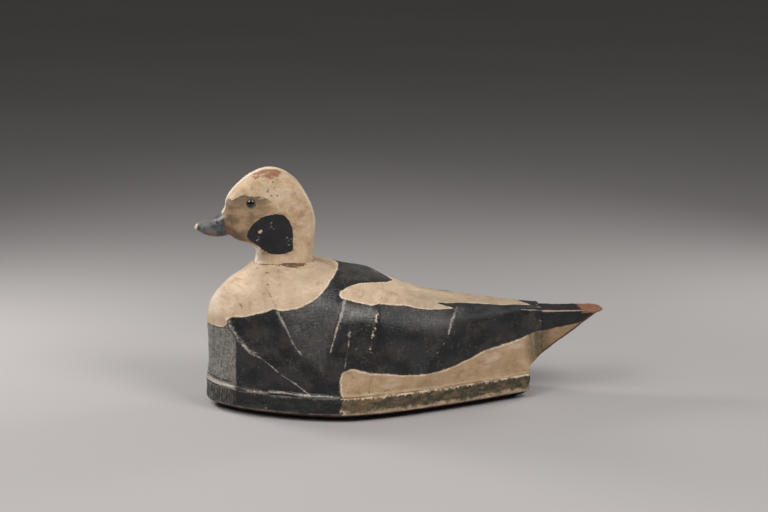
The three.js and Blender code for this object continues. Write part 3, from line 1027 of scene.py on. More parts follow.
@dataclass
class Head:
    """The head, carved from a plank: bill, rounded crown, neck, and a well for each eye."""

    back_line: Points = (
        (-228.5, 199.5), (-226, 204.2), (-214, 208.2), (-202, 211.2), (-195, 219.5), (-193, 229.5),
        (-184.5, 242), (-169.5, 254.8), (-151, 262.8), (-134, 261.4), (-118.5, 251.5),
        (-105.8, 234.2), (-98.4, 213), (-97.7, 192), (-99.8, 173), (-101, 153),
    )
    front_line: Points = (
        (-228.5, 199.5), (-226.2, 198), (-215.5, 191.8), (-204, 189.7), (-195, 190.3),
        (-191, 191.6), (-185, 189.3), (-177.5, 186.6), (-169, 183.6), (-163.6, 177.5),
        (-161, 170.5), (-161.8, 164), (-166, 153),
    )
    thickness: Points = (
        (0.0, 2.0), (0.03, 7.0), (0.1, 10.0), (0.2, 10.5), (0.27, 11.0), (0.36, 20.0),
        (0.44, 23.5), (0.55, 25.5), (0.75, 25.5), (0.9, 25.0), (1.0, 27.0),
    )
    corner: Points = (
        (0.0, 2.0), (0.03, 6.5), (0.27, 8.5), (0.36, 8.0), (0.62, 8.0), (0.78, 8.5), (1.0, 12.0),
    )
    bill_share: float = 0.31
    bill_part_of_back: float = 0.112
    bill_part_of_front: float = 0.43
    crown_taper: float = 0.12
    crown_round: float = 0.2
    neck_round: float = 0.5
    side_bulge: float = 0.9
    rings: int = 300
    counts: tuple[int, ...] = (10, 16, 36, 12, 6)
    eye: tuple[float, float] = EYE_PLACE
    well_floor: float = 3.5
    well_radius: float = 7.5
    well_depth: float = 1.6
    uneven: float = 0.22
    fine_uneven: float = 0.08
    wear_stop: float = 3.0
    face: Points = (
        (-215, 230), (-193, 231.8), (-187, 233.8), (-182, 235.8), (-177, 238), (-174, 238.8),
        (-170.5, 237), (-165.5, 236.2), (-156.5, 237), (-149.5, 233.2), (-141, 226.3),
        (-134.8, 218.6), (-138, 205), (-158, 190), (-166, 181), (-176, 178), (-215, 178),
    )
    cheek: Points = (
        (-173, 194), (-171, 201), (-166, 207), (-160, 212), (-152, 216), (-145, 217.3),
        (-137, 217), (-131, 215), (-128, 211), (-126, 207), (-124, 203), (-123, 195), (-123, 185),
        (-124, 177), (-128, 174.5), (-134, 173), (-142, 172.7), (-148, 174), (-154, 177.5),
        (-160, 182.5), (-167, 187), (-171, 190.5),
    )
    crown_wear: Points = (
        (-170, 258), (-163, 257), (-157, 258), (-152.5, 258.5), (-149, 256.5), (-146.5, 253),
        (-143.5, 256.5), (-139, 257), (-136, 259.5), (-134.5, 275), (-173, 275),
    )
    bill: Points = ((-203, 219), (-197.5, 214), (-195.5, 206), (-194.3, 197), (-191, 186))

    def surface(self) -> tuple[Array, Array]:
        """The carved surface, as sections that fan out from the throat.

        Each section is a rounded rectangle between a place on the back outline and one on the
        front outline. Its long sides are the plank's faces, a little crowned.

        Returns:
            Rings of places, of shape (sections, points, 3), and how far each place lies round
            the corner from the plank's face, 0 to 1.
        """
        share = np.linspace(0.0, 1.0, self.rings)
        parts = []
        for part, line in (
            (self.bill_part_of_back, self.back_line),
            (self.bill_part_of_front, self.front_line),
        ):
            on_bill = share / self.bill_share * part
            on_head = blend(part, 1.0, (share - self.bill_share) / (1 - self.bill_share))
            line_share = np.where(share < self.bill_share, on_bill, on_head)
            parts.append(along_line(smooth_line(line, 40), line_share))
        back, front = parts
        long = np.maximum(np.linalg.norm(back - front, axis=1) / 2, 0.05)
        thickness = self._eased(self.thickness, share)
        radius = np.minimum(self._eased(self.corner, share), 0.96 * np.minimum(long, thickness))
        half = rounded_box_half(long, thickness, radius, self.counts)
        along = half[..., 0] / long[:, None]
        across = half[..., 1]
        taper = ease(share, self.bill_share, 0.5) * (1 - ease(share, 0.8, 1.0))
        across = across * (1 - self.crown_taper * taper[:, None] * along)
        plank = ease(share, self.bill_share, 0.42)[:, None]
        rounding = self.crown_round * np.maximum(along, 0.0) ** 6
        across = across * (1 - rounding * plank * (1 - ease(share, 0.7, 1.0)[:, None]))
        slimmer = self.neck_round * np.maximum(-along, 0.0) ** 3 * ease(share, 0.72, 0.9)[:, None]
        across = across * (1 - slimmer)
        across = across + plank * self.side_bulge * (across / thickness[:, None]) * (1 - along**2)
        middle = blend(front[:, None], back[:, None], ((1 + along) / 2)[..., None])
        rings = both_sides(np.stack([middle[..., 0], -across, middle[..., 1]], -1))
        rim = 1 - np.clip((long[:, None] - np.abs(half[..., 0])) / radius[:, None], 0, 1)
        return rings, np.concatenate([rim, rim[:, ::-1]], axis=1)

    @staticmethod
    def _eased(table: Points, share: Array) -> Array:
        """Value at each share, eased between the table's (share, value) pairs."""
        shares, values = np.array(table).T
        after = np.clip(np.searchsorted(shares, share, side="left"), 1, len(shares) - 1)
        t = (share - shares[after - 1]) / (shares[after] - shares[after - 1])
        return blend(values[after - 1], values[after], ease(t, 0.0, 1.0))

    def build(self, finish: bpy.types.Material, hull: Hull) -> Piece:
        """Builds the head with its eye wells, and marks the paint on it.

        Args:
            finish: The painted head.
            hull: The body that the neck stands on.

        Returns:
            The head.
        """
        rings, rim = self.surface()
        from_eye = np.linalg.norm(rings[..., ::2] - np.array(self.eye), axis=-1)
        well = self.well_depth * (1 - ease(from_eye, self.well_floor, self.well_radius))
        well *= ease(rim, 1.0, 0.0)
        rough = self.uneven * lumps(rings, 24.0, seed=12)
        rough += self.fine_uneven * lumps(rings, 6.0, seed=13)
        calm = ease(np.arange(self.rings) / self.rings, 0.0, 0.05)[:, None]
        rings = rings + grid_normals(rings) * (rough * calm - well)[..., None]
        piece = Piece("head", rings)
        at = rings[..., ::2]
        for name, patch in (("face", self.face), ("cheek", self.cheek)):
            piece.value(name, -region_distance(at, smooth_line(patch + patch[:1])))
        piece.value("bill", side_distance(at, smooth_line(self.bill)))
        worn = -region_distance(at, np.asarray(self.crown_wear, float))
        piece.value("crown_wear", np.minimum(worn, -self.wear_stop - rings[..., 1]))
        piece.value("rim", rim)
        piece.value("above_body", rings[..., 2] - hull.back_height(rings[..., 0]))
        piece.place(finish, "painted_head", "head")
        return piece


class Side(Enum):
    """The decoy's sides, as the sign of Y."""

    LEFT = -1
    RIGHT = 1


@dataclass
class Eye:
    """A glass eye: a lens let into the head."""

    side: Side
    x: float = EYE_PLACE[0]
    z: float = EYE_PLACE[1]
    radius: float = 5.1
    face_y: float = 22.0
    dome: float = 2.6
    depth: float = 2.4
    rings: int = 32
    around: int = 48
    pole_gap: float = 0.004

    def build(self, finish: bpy.types.Material) -> Piece:
        """Builds the lens: rings of radius r sin(t), with the front and back domed by cos(t).

        Args:
            finish: The glass.

        Returns:
            The eye.
        """
        turn = np.linspace(self.pole_gap, math.pi - self.pole_gap, self.rings)[:, None]
        angle = ((np.arange(self.around) + 0.5) / self.around * 2 * math.pi)[None, :]
        reach = np.where(np.cos(turn) > 0, self.dome, self.depth)
        y = self.side.value * (self.face_y + reach * np.cos(turn)) + 0 * angle
        x = self.x + self.radius * np.sin(turn) * np.cos(angle)
        z = self.z + self.radius * np.sin(turn) * np.sin(angle)
        name = f"eye_{self.side.name.lower()}"
        piece = Piece(name, np.stack([x, y, z], -1), crease_degrees=80.0)
        piece.place(finish, "eye_glass", name)
        return piece


# Finishes


def tint(red: int, green: int, blue: int) -> Colour:
    """Linear colour of an everyday 0-255 mix, by the sRGB curve."""
    shares = np.array([red, green, blue]) / 255
    low = shares / 12.92
    high = ((shares + 0.055) / 1.055) ** 2.4
    return tuple(float(value) for value in np.where(shares <= 0.04045, low, high))


Socket = bpy.types.NodeSocket
Amount = Socket | float
Shade = Socket | Colour


class Finish:
    """A material being mixed: short ways to add nodes to its Principled shader."""

    def __init__(self, name: str) -> None:
        """Starts a material with the given name."""
        self.material = bpy.data.materials.new(name)
        self.material.use_nodes = True
        self.tree = self.material.node_tree
        self.shader = self.tree.nodes["Principled BSDF"]
        self.places = self._node("ShaderNodeTexCoord").outputs["Object"]

    def _node(self, kind: str, **settings: object) -> bpy.types.Node:
        """Adds a node and gives it its settings."""
        node = self.tree.nodes.new(kind)
        for name, value in settings.items():
            setattr(node, name, value)
        return node

    def _feed(self, socket: Socket, value: Socket | Colour | float) -> None:
        """Links a socket to another one, or sets its value."""
        if isinstance(value, bpy.types.NodeSocket):
            self.tree.links.new(value, socket)
        elif isinstance(value, tuple) and len(socket.default_value) == 4:
            socket.default_value = (*value, 1.0)
        else:
            socket.default_value = value

    def stored(self, name: str) -> Socket:
        """A number stored on the mesh."""
        return self._node("ShaderNodeAttribute", attribute_name=name).outputs["Fac"]

    def stored_vector(self, name: str) -> Socket:
        """A vector stored on the mesh."""
        return self._node("ShaderNodeAttribute", attribute_name=name).outputs["Vector"]

    def reckon(self, operation: str, first: Amount, second: Amount = 0.0) -> Socket:
        """The result of a sum on two numbers."""
        node = self._node("ShaderNodeMath", operation=operation)
        self._feed(node.inputs[0], first)
        self._feed(node.inputs[1], second)
        return node.outputs[0]

    def total(self, *terms: Amount) -> Amount:
        """The terms added together."""
        return reduce(partial(self.reckon, "ADD"), terms)

    def product(self, *terms: Amount) -> Amount:
        """The terms multiplied together."""
        return reduce(partial(self.reckon, "MULTIPLY"), terms)

    def greatest(self, *terms: Amount) -> Amount:
        """The greatest of the terms."""
        return reduce(partial(self.reckon, "MAXIMUM"), terms)

    def step(
        self, value: Amount, start: float, end: float, low: float = 0.0, high: float = 1.0
    ) -> Socket:
        """Smooth step from low at start to high at end."""
        node = self._node("ShaderNodeMapRange", interpolation_type="SMOOTHSTEP")
        ends = {"From Min": start, "From Max": end, "To Min": low, "To Max": high}
        for name, number in {"Value": value, **ends}.items():
            self._feed(node.inputs[name], number)
        return node.outputs["Result"]

    def stored_axis(self, name: str, letter: str) -> Socket:
        """One coordinate of a vector stored on the mesh."""
        split = self._node("ShaderNodeSeparateXYZ")
        self._feed(split.inputs[0], self.stored_vector(name))
        return split.outputs[letter]

    def axis(self, letter: str) -> Socket:
        """One coordinate of the piece's own space, in millimetres."""
        split = self._node("ShaderNodeSeparateXYZ")
        self._feed(split.inputs[0], self.places)
        return self.product(split.outputs[letter], 1 / MM)

    def noise(
        self,
        size: float,
        detail: float = 2.0,
        stretch: tuple[float, float, float] = (1.0, 1.0, 1.0),
        shift: float = 0.0,
        unrolled: bool = False,
    ) -> Socket:
        """Soft noise around 0.5.

        Args:
            size: Rough size of a blotch, in millimetres.
            detail: How many finer layers lie over it.
            stretch: How much longer a blotch is along each axis.
            shift: Moves the pattern, so that two noises of a size differ.
            unrolled: Whether to follow the unrolled canvas and not the piece's own space.

        Returns:
            The noise.
        """
        scale = 1.0 if unrolled else 1 / MM
        mapping = self._node("ShaderNodeMapping")
        places = self.stored_vector("unrolled") if unrolled else self.places
        self._feed(mapping.inputs["Vector"], places)
        mapping.inputs["Location"].default_value = (shift, 0.7 * shift, 1.3 * shift)
        mapping.inputs["Scale"].default_value = tuple(scale / (size * along) for along in stretch)
        node = self._node("ShaderNodeTexNoise")
        node.inputs["Scale"].default_value = 1.0
        node.inputs["Detail"].default_value = detail
        self._feed(node.inputs["Vector"], mapping.outputs[0])
        return node.outputs["Fac"]

    def threads(
        self, size: float, detail: float, stretch: float, shifts: tuple[float, float], unrolled: bool
    ) -> Socket:
        """Two streaky noises added together, one drawn out along the cloth and one up it.

        Args:
            size: Rough width of a streak, in millimetres.
            detail: How many finer layers lie over each noise.
            stretch: How much longer a streak is than it is wide.
            shifts: How far each of the two patterns is moved.
            unrolled: Whether to follow the unrolled canvas.

        Returns:
            The sum, around 1.
        """
        along = self.noise(size, detail, (stretch, 1.0, 1.0), shifts[0], unrolled)
        upward = self.noise(size, detail, (1.0, stretch, 1.0), shifts[1], unrolled)
        return self.total(along, upward)

    def broken(
        self, bite: Socket, size: float, shift: float, reach: float, unrolled: bool = False
    ) -> Socket:
        """A fine noise that a broad one, of the given size and reach, makes patchy."""
        broad = self.noise(size, 3.0, shift=shift, unrolled=unrolled)
        return self.total(bite, self.step(broad, 0.3, 0.7, -reach, reach))

    def ragged(self, detail: float, broad: float, fine: float, unrolled: bool = False) -> Socket:
        """Wander of a painted edge in millimetres: the sum of a broad one and a fine one."""
        wide = self.noise(9.0, detail, shift=50.0, unrolled=unrolled)
        narrow = self.noise(2.0, 2.0, shift=52.0, unrolled=unrolled)
        return self.total(
            self.step(wide, 0.2, 0.8, -broad, broad), self.step(narrow, 0.2, 0.8, -fine, fine)
        )

    def marked(
        self, name: str, uneven: Amount, start: float, end: float, most: float = 1.0
    ) -> Socket:
        """How far a mark stored on the mesh shows, up to the most, where the noise lets it."""
        return self.step(self.total(self.stored(name), uneven), start, end, 0.0, most)

    def weave(self, pitch: float) -> Socket:
        """Threads of the canvas: the mean of two wave patterns, along and up the unrolled side."""
        bands = []
        for direction in ("X", "Y"):
            wave = self._node("ShaderNodeTexWave", bands_direction=direction)
            self._feed(wave.inputs["Vector"], self.stored_vector("unrolled"))
            wave.inputs["Scale"].default_value = 0.314 / pitch
            wave.inputs["Distortion"].default_value = 1.2
            wave.inputs["Detail"].default_value = 2.0
            wave.inputs["Detail Scale"].default_value = 0.6
            bands.append(wave.outputs["Fac"])
        return self.product(self.total(*bands), 0.5)

    def spot(self, x: float, z: float, radius: float) -> Socket:
        """A round spot on both faces of the head, 1 in its middle and 0 past its radius."""
        flat = self._node("ShaderNodeVectorMath", operation="MULTIPLY")
        self._feed(flat.inputs[0], self.places)
        flat.inputs[1].default_value = (1.0, 0.0, 1.0)
        away = self._node("ShaderNodeVectorMath", operation="DISTANCE")
        self._feed(away.inputs[0], flat.outputs[0])
        away.inputs[1].default_value = (x * MM, 0.0, z * MM)
        return self.step(away.outputs["Value"], radius * MM, 0.55 * radius * MM)

    def mix(self, share: Amount, low: Shade, high: Shade) -> Socket:
        """A colour between two others."""
        node = self._node("ShaderNodeMix", data_type="RGBA")
        self._feed(node.inputs["Factor"], share)
        self._feed(node.inputs[6], low)
        self._feed(node.inputs[7], high)
        return node.outputs[2]

    def relief(self, height: Socket, depth: float, below: Socket | None = None) -> Socket:
        """Surface relief: a height of 0 to 1 that stands for the depth in millimetres."""
        node = self._node("ShaderNodeBump")
        node.inputs["Strength"].default_value = 1.0
        node.inputs["Distance"].default_value = depth * MM
        self._feed(node.inputs["Height"], height)
        if below is not None:
            self._feed(node.inputs["Normal"], below)
        return node.outputs[0]

    def finish(
        self, colour: Shade, roughness: Amount, normal: Socket | None = None
    ) -> bpy.types.Material:
        """Feeds the shader and hands over the material."""
        self._feed(self.shader.inputs["Base Color"], colour)
        self._feed(self.shader.inputs["Roughness"], roughness)
        if normal is not None:
            self._feed(self.shader.inputs["Normal"], normal)
        return self.material


@dataclass(frozen=True)
class OldPaint:
    """Colours of the decoy's worn paint, threads, wood and glass, and of the light and shade painted on
    it.
    """

    black: Colour = tint(18, 19, 21)
    faded_black: Colour = tint(42, 41, 41)
    brown_black: Colour = tint(56, 50, 45)
    dust: Colour = tint(148, 143, 134)
    worn_edge: Colour = tint(176, 166, 154)
    cream: Colour = tint(197, 171, 142)
    pale_cream: Colour = tint(210, 187, 160)
    # Pale cream, used for painted highlights on the head's rim, the cream's edges and the bib fold, and
    # for worn ridges.
    bright_rim: Colour = tint(226, 208, 186)
    rosy_cream: Colour = tint(204, 171, 140)
    yellowed: Colour = tint(178, 148, 111)
    stain: Colour = tint(150, 118, 86)
    grime: Colour = tint(74, 54, 40)
    # Near-white cream, used only as painted light on the breast and the throat.
    painted_light_cream: Colour = tint(238, 224, 206)
    ground: Colour = tint(206, 188, 164)
    pink_thread: Colour = tint(172, 148, 136)
    rosy_wood: Colour = tint(178, 138, 118)
    red_wood: Colour = tint(128, 84, 60)
    bare_red: Colour = tint(154, 106, 78)
    dark_wood: Colour = tint(84, 52, 40)
    gouge: Colour = tint(116, 76, 50)
    # Olive paint of the board, also used as painted shade on the canvas and the tail.
    olive: Colour = tint(86, 76, 53)
    dark_olive: Colour = tint(48, 48, 40)
    face_edge: Colour = tint(84, 66, 46)
    face_brown: Colour = tint(104, 82, 58)
    face_tan: Colour = tint(150, 121, 92)
    slate: Colour = tint(97, 96, 97)
    dark_slate: Colour = tint(62, 61, 63)
    glass_brown: Colour = tint(66, 38, 22)
    pupil: Colour = tint(10, 8, 7)


PAINT = OldPaint()


def black_coat(mixer: Finish, unrolled: bool, dust_and_sheen: Amount = 0.0, faded: float = 1.0) -> Socket:
    """Old black paint: blotched brown and grey, with a pale film of dust and painted sheen, and small
    pale flecks.

    Args:
        mixer: The material being mixed.
        unrolled: Whether the pattern follows the unrolled canvas.
        dust_and_sheen: How much pale film each place has, 0 to 1: dust, and painted sheen where it is
            set.
        faded: How much of the fading and the film shows, 0 to 1.

    Returns:
        The colour.
    """
    blotch = mixer.noise(30.0, 4.0, shift=3.0, unrolled=unrolled)
    blotch = mixer.step(blotch, 0.4, 0.62, 0.0, faded)
    colour = mixer.mix(blotch, PAINT.black, PAINT.faded_black)
    cloud = mixer.noise(17.0, 4.0, shift=5.0, unrolled=unrolled)
    cloud = mixer.step(cloud, 0.5, 0.68, 0.0, 0.75 * faded)
    colour = mixer.mix(cloud, colour, PAINT.brown_black)
    grain = mixer.product(mixer.threads(1.3, 2.0, 3.5, (9.0, 11.0), unrolled), 0.5)
    spread = mixer.step(mixer.noise(12.0, 3.0, shift=15.0, unrolled=unrolled), 0.4, 0.7, 0.1, 1.3)
    film = mixer.product(mixer.step(grain, 0.48, 0.66, 0.0, 0.16 * faded), spread)
    # The marked places take more film: dust, and painted sheen where it is set.
    film = mixer.total(film, mixer.product(dust_and_sheen, mixer.step(grain, 0.38, 0.62, 0.35, 0.9)))
    colour = mixer.mix(film, colour, PAINT.dust)
    fleck = mixer.step(mixer.noise(1.8, 1.0, shift=21.0, unrolled=unrolled), 0.76, 0.8, 0.0, 0.5)
    return mixer.mix(mixer.product(fleck, mixer.step(spread, 0.6, 1.0)), colour, PAINT.ground)


def cream_coat(mixer: Finish, unrolled: bool, yellowing: Amount) -> Socket:
    """Old cream paint: yellowed in places, with soft stains and small brown specks.

    Args:
        mixer: The material being mixed.
        unrolled: Whether the pattern follows the unrolled canvas.
        yellowing: How yellowed each place is, 0 to 1.

    Returns:
        The colour.
    """
    blotch = mixer.step(mixer.noise(14.0, 4.0, shift=13.0, unrolled=unrolled), 0.38, 0.64)
    colour = mixer.mix(blotch, PAINT.cream, PAINT.pale_cream)
    rosy = mixer.step(mixer.noise(11.0, 4.0, shift=17.0, unrolled=unrolled), 0.48, 0.64, 0.0, 0.8)
    colour = mixer.mix(yellowing, colour, PAINT.yellowed)
    colour = mixer.mix(mixer.product(rosy, 0.5), colour, PAINT.rosy_cream)
    stain = mixer.step(mixer.noise(8.0, 5.0, shift=31.0, unrolled=unrolled), 0.48, 0.7, 0.0, 0.5)
    where = mixer.step(mixer.noise(22.0, 3.0, shift=33.0, unrolled=unrolled), 0.42, 0.62, 0.15, 1.0)
    where = mixer.total(where, mixer.product(yellowing, 0.5))
    colour = mixer.mix(mixer.product(stain, where), colour, PAINT.stain)
    wash = mixer.noise(18.0, 4.0, stretch=(2.2, 0.7, 1.0), shift=37.0, unrolled=unrolled)
    washed = mixer.product(mixer.step(wash, 0.52, 0.7, 0.0, 0.8), yellowing)
    colour = mixer.mix(washed, colour, PAINT.pale_cream)
    grain = mixer.product(mixer.threads(1.4, 2.0, 3.0, (19.0, 23.0), unrolled), 0.5)
    colour = mixer.mix(mixer.step(grain, 0.48, 0.66, 0.0, 0.26), colour, PAINT.stain)
    speck = mixer.step(mixer.noise(1.9, 2.0, shift=41.0, unrolled=unrolled), 0.69, 0.76, 0.0, 0.6)
    return mixer.mix(speck, colour, PAINT.grime)


def painted_canvas() -> bpy.types.Material:
    """The body's painted canvas, cream and black, with rubbed folds, soiled seams, and painted shade
    and highlights.
    """
    mixer = Finish("painted_canvas")
    depth = mixer.total(mixer.stored("cream"), mixer.ragged(2.0, 0.6, 0.35, unrolled=True))
    is_cream = mixer.step(depth, -0.35, 0.35)
    # Yellower toward the bottom of the canvas.
    yellowing = mixer.step(mixer.stored_axis("unrolled", "Y"), 75.0, 25.0, 0.05, 0.9)
    bite = mixer.noise(2.4, 3.0, shift=61.0, unrolled=True)
    broken = mixer.broken(bite, 8.0, 63.0, 0.22, unrolled=True)
    # The black coat takes a pale film: dust, and painted sheen on the shoulders.
    black = black_coat(mixer, True, mixer.stored("dust_and_sheen"))
    # Grey lines on the black: rubbed paint, and painted highlights along the tops of some folds.
    grey_wear_and_highlight = mixer.marked("grey_wear_and_highlight", mixer.product(broken, 0.9), 0.85, 1.3)
    edge = mixer.mix(mixer.step(broken, 0.4, 0.7), PAINT.dust, PAINT.worn_edge)
    black = mixer.mix(mixer.product(grey_wear_and_highlight, 0.85), black, edge)
    # Dark lines on the black: grime, and painted shadow beside raised folds.
    dark = mixer.mix(mixer.step(bite, 0.45, 0.7), PAINT.black, PAINT.grime)
    black = mixer.mix(mixer.marked("shadow_and_grime", broken, 0.9, 1.2, 0.85), black, dark)
    outline = mixer.product(mixer.step(depth, -1.9, -0.5), mixer.step(broken, 0.35, 0.6, 0.2, 0.9))
    black = mixer.mix(outline, black, PAINT.grime)
    cream = cream_coat(mixer, True, yellowing)
    # Painted light: the breast's front and upper outline turn near-white.
    painted_breast_light = mixer.product(mixer.stored("painted_breast_light"), mixer.step(bite, 0.25, 0.6, 0.6, 1.0))
    cream = mixer.mix(painted_breast_light, cream, PAINT.painted_light_cream)
    # Painted highlight: a paler band just inside the cream's edges, for light on the paint's raised
    # edge.
    border_highlight = mixer.product(mixer.step(depth, 2.6, 1.3), mixer.step(broken, 0.35, 0.65, 0.15, 0.85))
    cream = mixer.mix(border_highlight, cream, PAINT.bright_rim)
    colour = mixer.mix(is_cream, black, cream)
    soil = mixer.mix(mixer.step(bite, 0.4, 0.7), PAINT.grime, PAINT.stain)
    colour = mixer.mix(mixer.marked("soiled", broken, 0.85, 1.15, 0.8), colour, soil)
    # Painted shade: the marked places on the cream turn olive.
    shaded = mixer.product(mixer.stored("shaded"), mixer.step(broken, 0.3, 0.75, 1.0, 0.8), is_cream)
    colour = mixer.mix(shaded, colour, PAINT.olive)
    rubbed = mixer.marked("rubbed", broken, 0.95, 1.12)
    rubbed = mixer.product(rubbed, mixer.step(is_cream, 1.0, 0.0, 0.15, 0.95))
    bare = mixer.mix(mixer.step(bite, 0.5, 0.62), PAINT.ground, PAINT.pink_thread)
    colour = mixer.mix(rubbed, colour, bare)
    # Pale ridges: worn paint, and a painted highlight beside the bib fold.
    ridge = mixer.mix(is_cream, PAINT.worn_edge, PAINT.bright_rim)
    ridge = mixer.mix(mixer.step(bite, 0.5, 0.7), ridge, PAINT.pink_thread)
    ridge_wear_and_highlight = mixer.marked("ridge_wear_and_highlight", mixer.product(broken, 0.8), 0.8, 1.25, 0.9)
    colour = mixer.mix(ridge_wear_and_highlight, colour, ridge)
    gouge = mixer.mix(mixer.step(bite, 0.4, 0.65), PAINT.grime, PAINT.gouge)
    colour = mixer.mix(mixer.marked("gouged", broken, 0.95, 1.15, 0.95), colour, gouge)
    threads = mixer.threads(1.8, 3.0, 3.0, (70.0, 71.0), True)
    normal = mixer.relief(mixer.total(mixer.product(mixer.weave(1.5), 0.5), threads), 0.24)
    normal = mixer.relief(is_cream, 0.2, normal)
    roughness = mixer.total(
        mixer.step(is_cream, 0.0, 1.0, 0.3, 0.66),
        mixer.step(mixer.stored_axis("unrolled", "X"), -45.0, -25.0, 0.0, 0.14),
        mixer.step(bite, 0.3, 0.7, -0.04, 0.1),
        mixer.product(mixer.stored("dust_and_sheen"), 0.2),
    )
    return mixer.finish(colour, roughness, normal)


def painted_board() -> bpy.types.Material:
    """The board: black ahead and olive behind, with rubbed arrises and a bare underside darkened toward
    black.
    """
    mixer = Finish("painted_board")
    x, z = mixer.axis("X"), mixer.axis("Z")
    bite = mixer.noise(3.0, 4.0, shift=4.0)
    broken = mixer.broken(bite, 11.0, 5.0, 0.25)
    streak = mixer.noise(1.7, 3.0, stretch=(1.0, 1.0, 5.0), shift=6.0)
    green = mixer.mix(mixer.step(bite, 0.3, 0.7), PAINT.dark_olive, PAINT.olive)
    mottle = mixer.noise(7.0, 5.0, stretch=(1.8, 1.0, 0.8), shift=8.0)
    green = mixer.mix(mixer.step(mottle, 0.44, 0.7, 0.0, 0.5), green, PAINT.stain)
    black = mixer.mix(mixer.step(mottle, 0.45, 0.7), PAINT.black, PAINT.dark_olive)
    bow = mixer.product(mixer.step(x, -186.0, -196.0), mixer.step(streak, 0.4, 0.7, 0.05, 0.45))
    black = mixer.mix(bow, black, PAINT.dust)
    behind = mixer.step(mixer.total(x, mixer.step(bite, 0.2, 0.8, -3.0, 3.0)), -80.0, -77.5)
    drab = mixer.product(mixer.step(x, -20.0, -60.0, 0.0, 0.25), mixer.step(bite, 0.3, 0.6, 0.5, 1.0))
    green = mixer.mix(drab, green, PAINT.stain)
    colour = mixer.mix(behind, black, green)
    wander = mixer.step(mixer.noise(12.0, 4.0, shift=15.0), 0.25, 0.75, -3.4, 3.4)
    rough_z = mixer.total(z, wander)
    low_edge = mixer.product(mixer.step(rough_z, 15.5, 9.5), behind)
    arris_wear = mixer.total(mixer.step(broken, 0.35, 0.6, 0.1, 0.4), mixer.product(behind, 0.45))
    low_arris = mixer.product(mixer.step(z, 11.2, 9.9), arris_wear)
    low = mixer.greatest(mixer.product(low_edge, mixer.step(bite, 0.3, 0.6, 0.3, 0.95)), low_arris)
    colour = mixer.mix(low, colour, mixer.mix(behind, PAINT.pink_thread, PAINT.cream))
    high_z = mixer.total(z, mixer.step(bite, 0.2, 0.8, -1.6, 1.6))
    ridge = mixer.total(mixer.product(behind, 0.75), mixer.step(x, -190.0, -184.0, 0.1, 0.22))
    high = mixer.product(mixer.step(high_z, 25.4, 27.0), mixer.step(broken, 0.3, 0.6, 0.35, 1.0), ridge)
    worn = mixer.mix(mixer.step(broken, 0.5, 0.8), PAINT.dust, PAINT.worn_edge)
    worn_cream = mixer.mix(mixer.step(broken, 0.4, 0.7), PAINT.cream, PAINT.pale_cream)
    worn = mixer.mix(behind, worn, worn_cream)
    colour = mixer.mix(high, colour, worn)
    chip = mixer.step(mixer.noise(3.4, 2.0, shift=23.0), 0.72, 0.76)
    colour = mixer.mix(mixer.product(chip, 0.5), colour, PAINT.ground)
    # Under the bevel line the wood is darkened toward black: partly old dark paint, partly painted
    # shade for the gap under the board.
    under = mixer.step(z, 8.8, 8.0)
    grain = mixer.noise(2.0, 4.0, stretch=(18.0, 1.0, 1.0), shift=33.0)
    wood = mixer.mix(mixer.step(grain, 0.35, 0.65), PAINT.dark_olive, PAINT.red_wood)
    wood = mixer.mix(mixer.step(mottle, 0.4, 0.6, 0.2, 0.9), wood, PAINT.black)
    colour = mixer.mix(under, colour, wood)
    normal = mixer.relief(mixer.total(bite, mixer.product(streak, 0.7)), 0.6)
    return mixer.finish(colour, mixer.step(bite, 0.3, 0.7, 0.55, 0.75), normal)


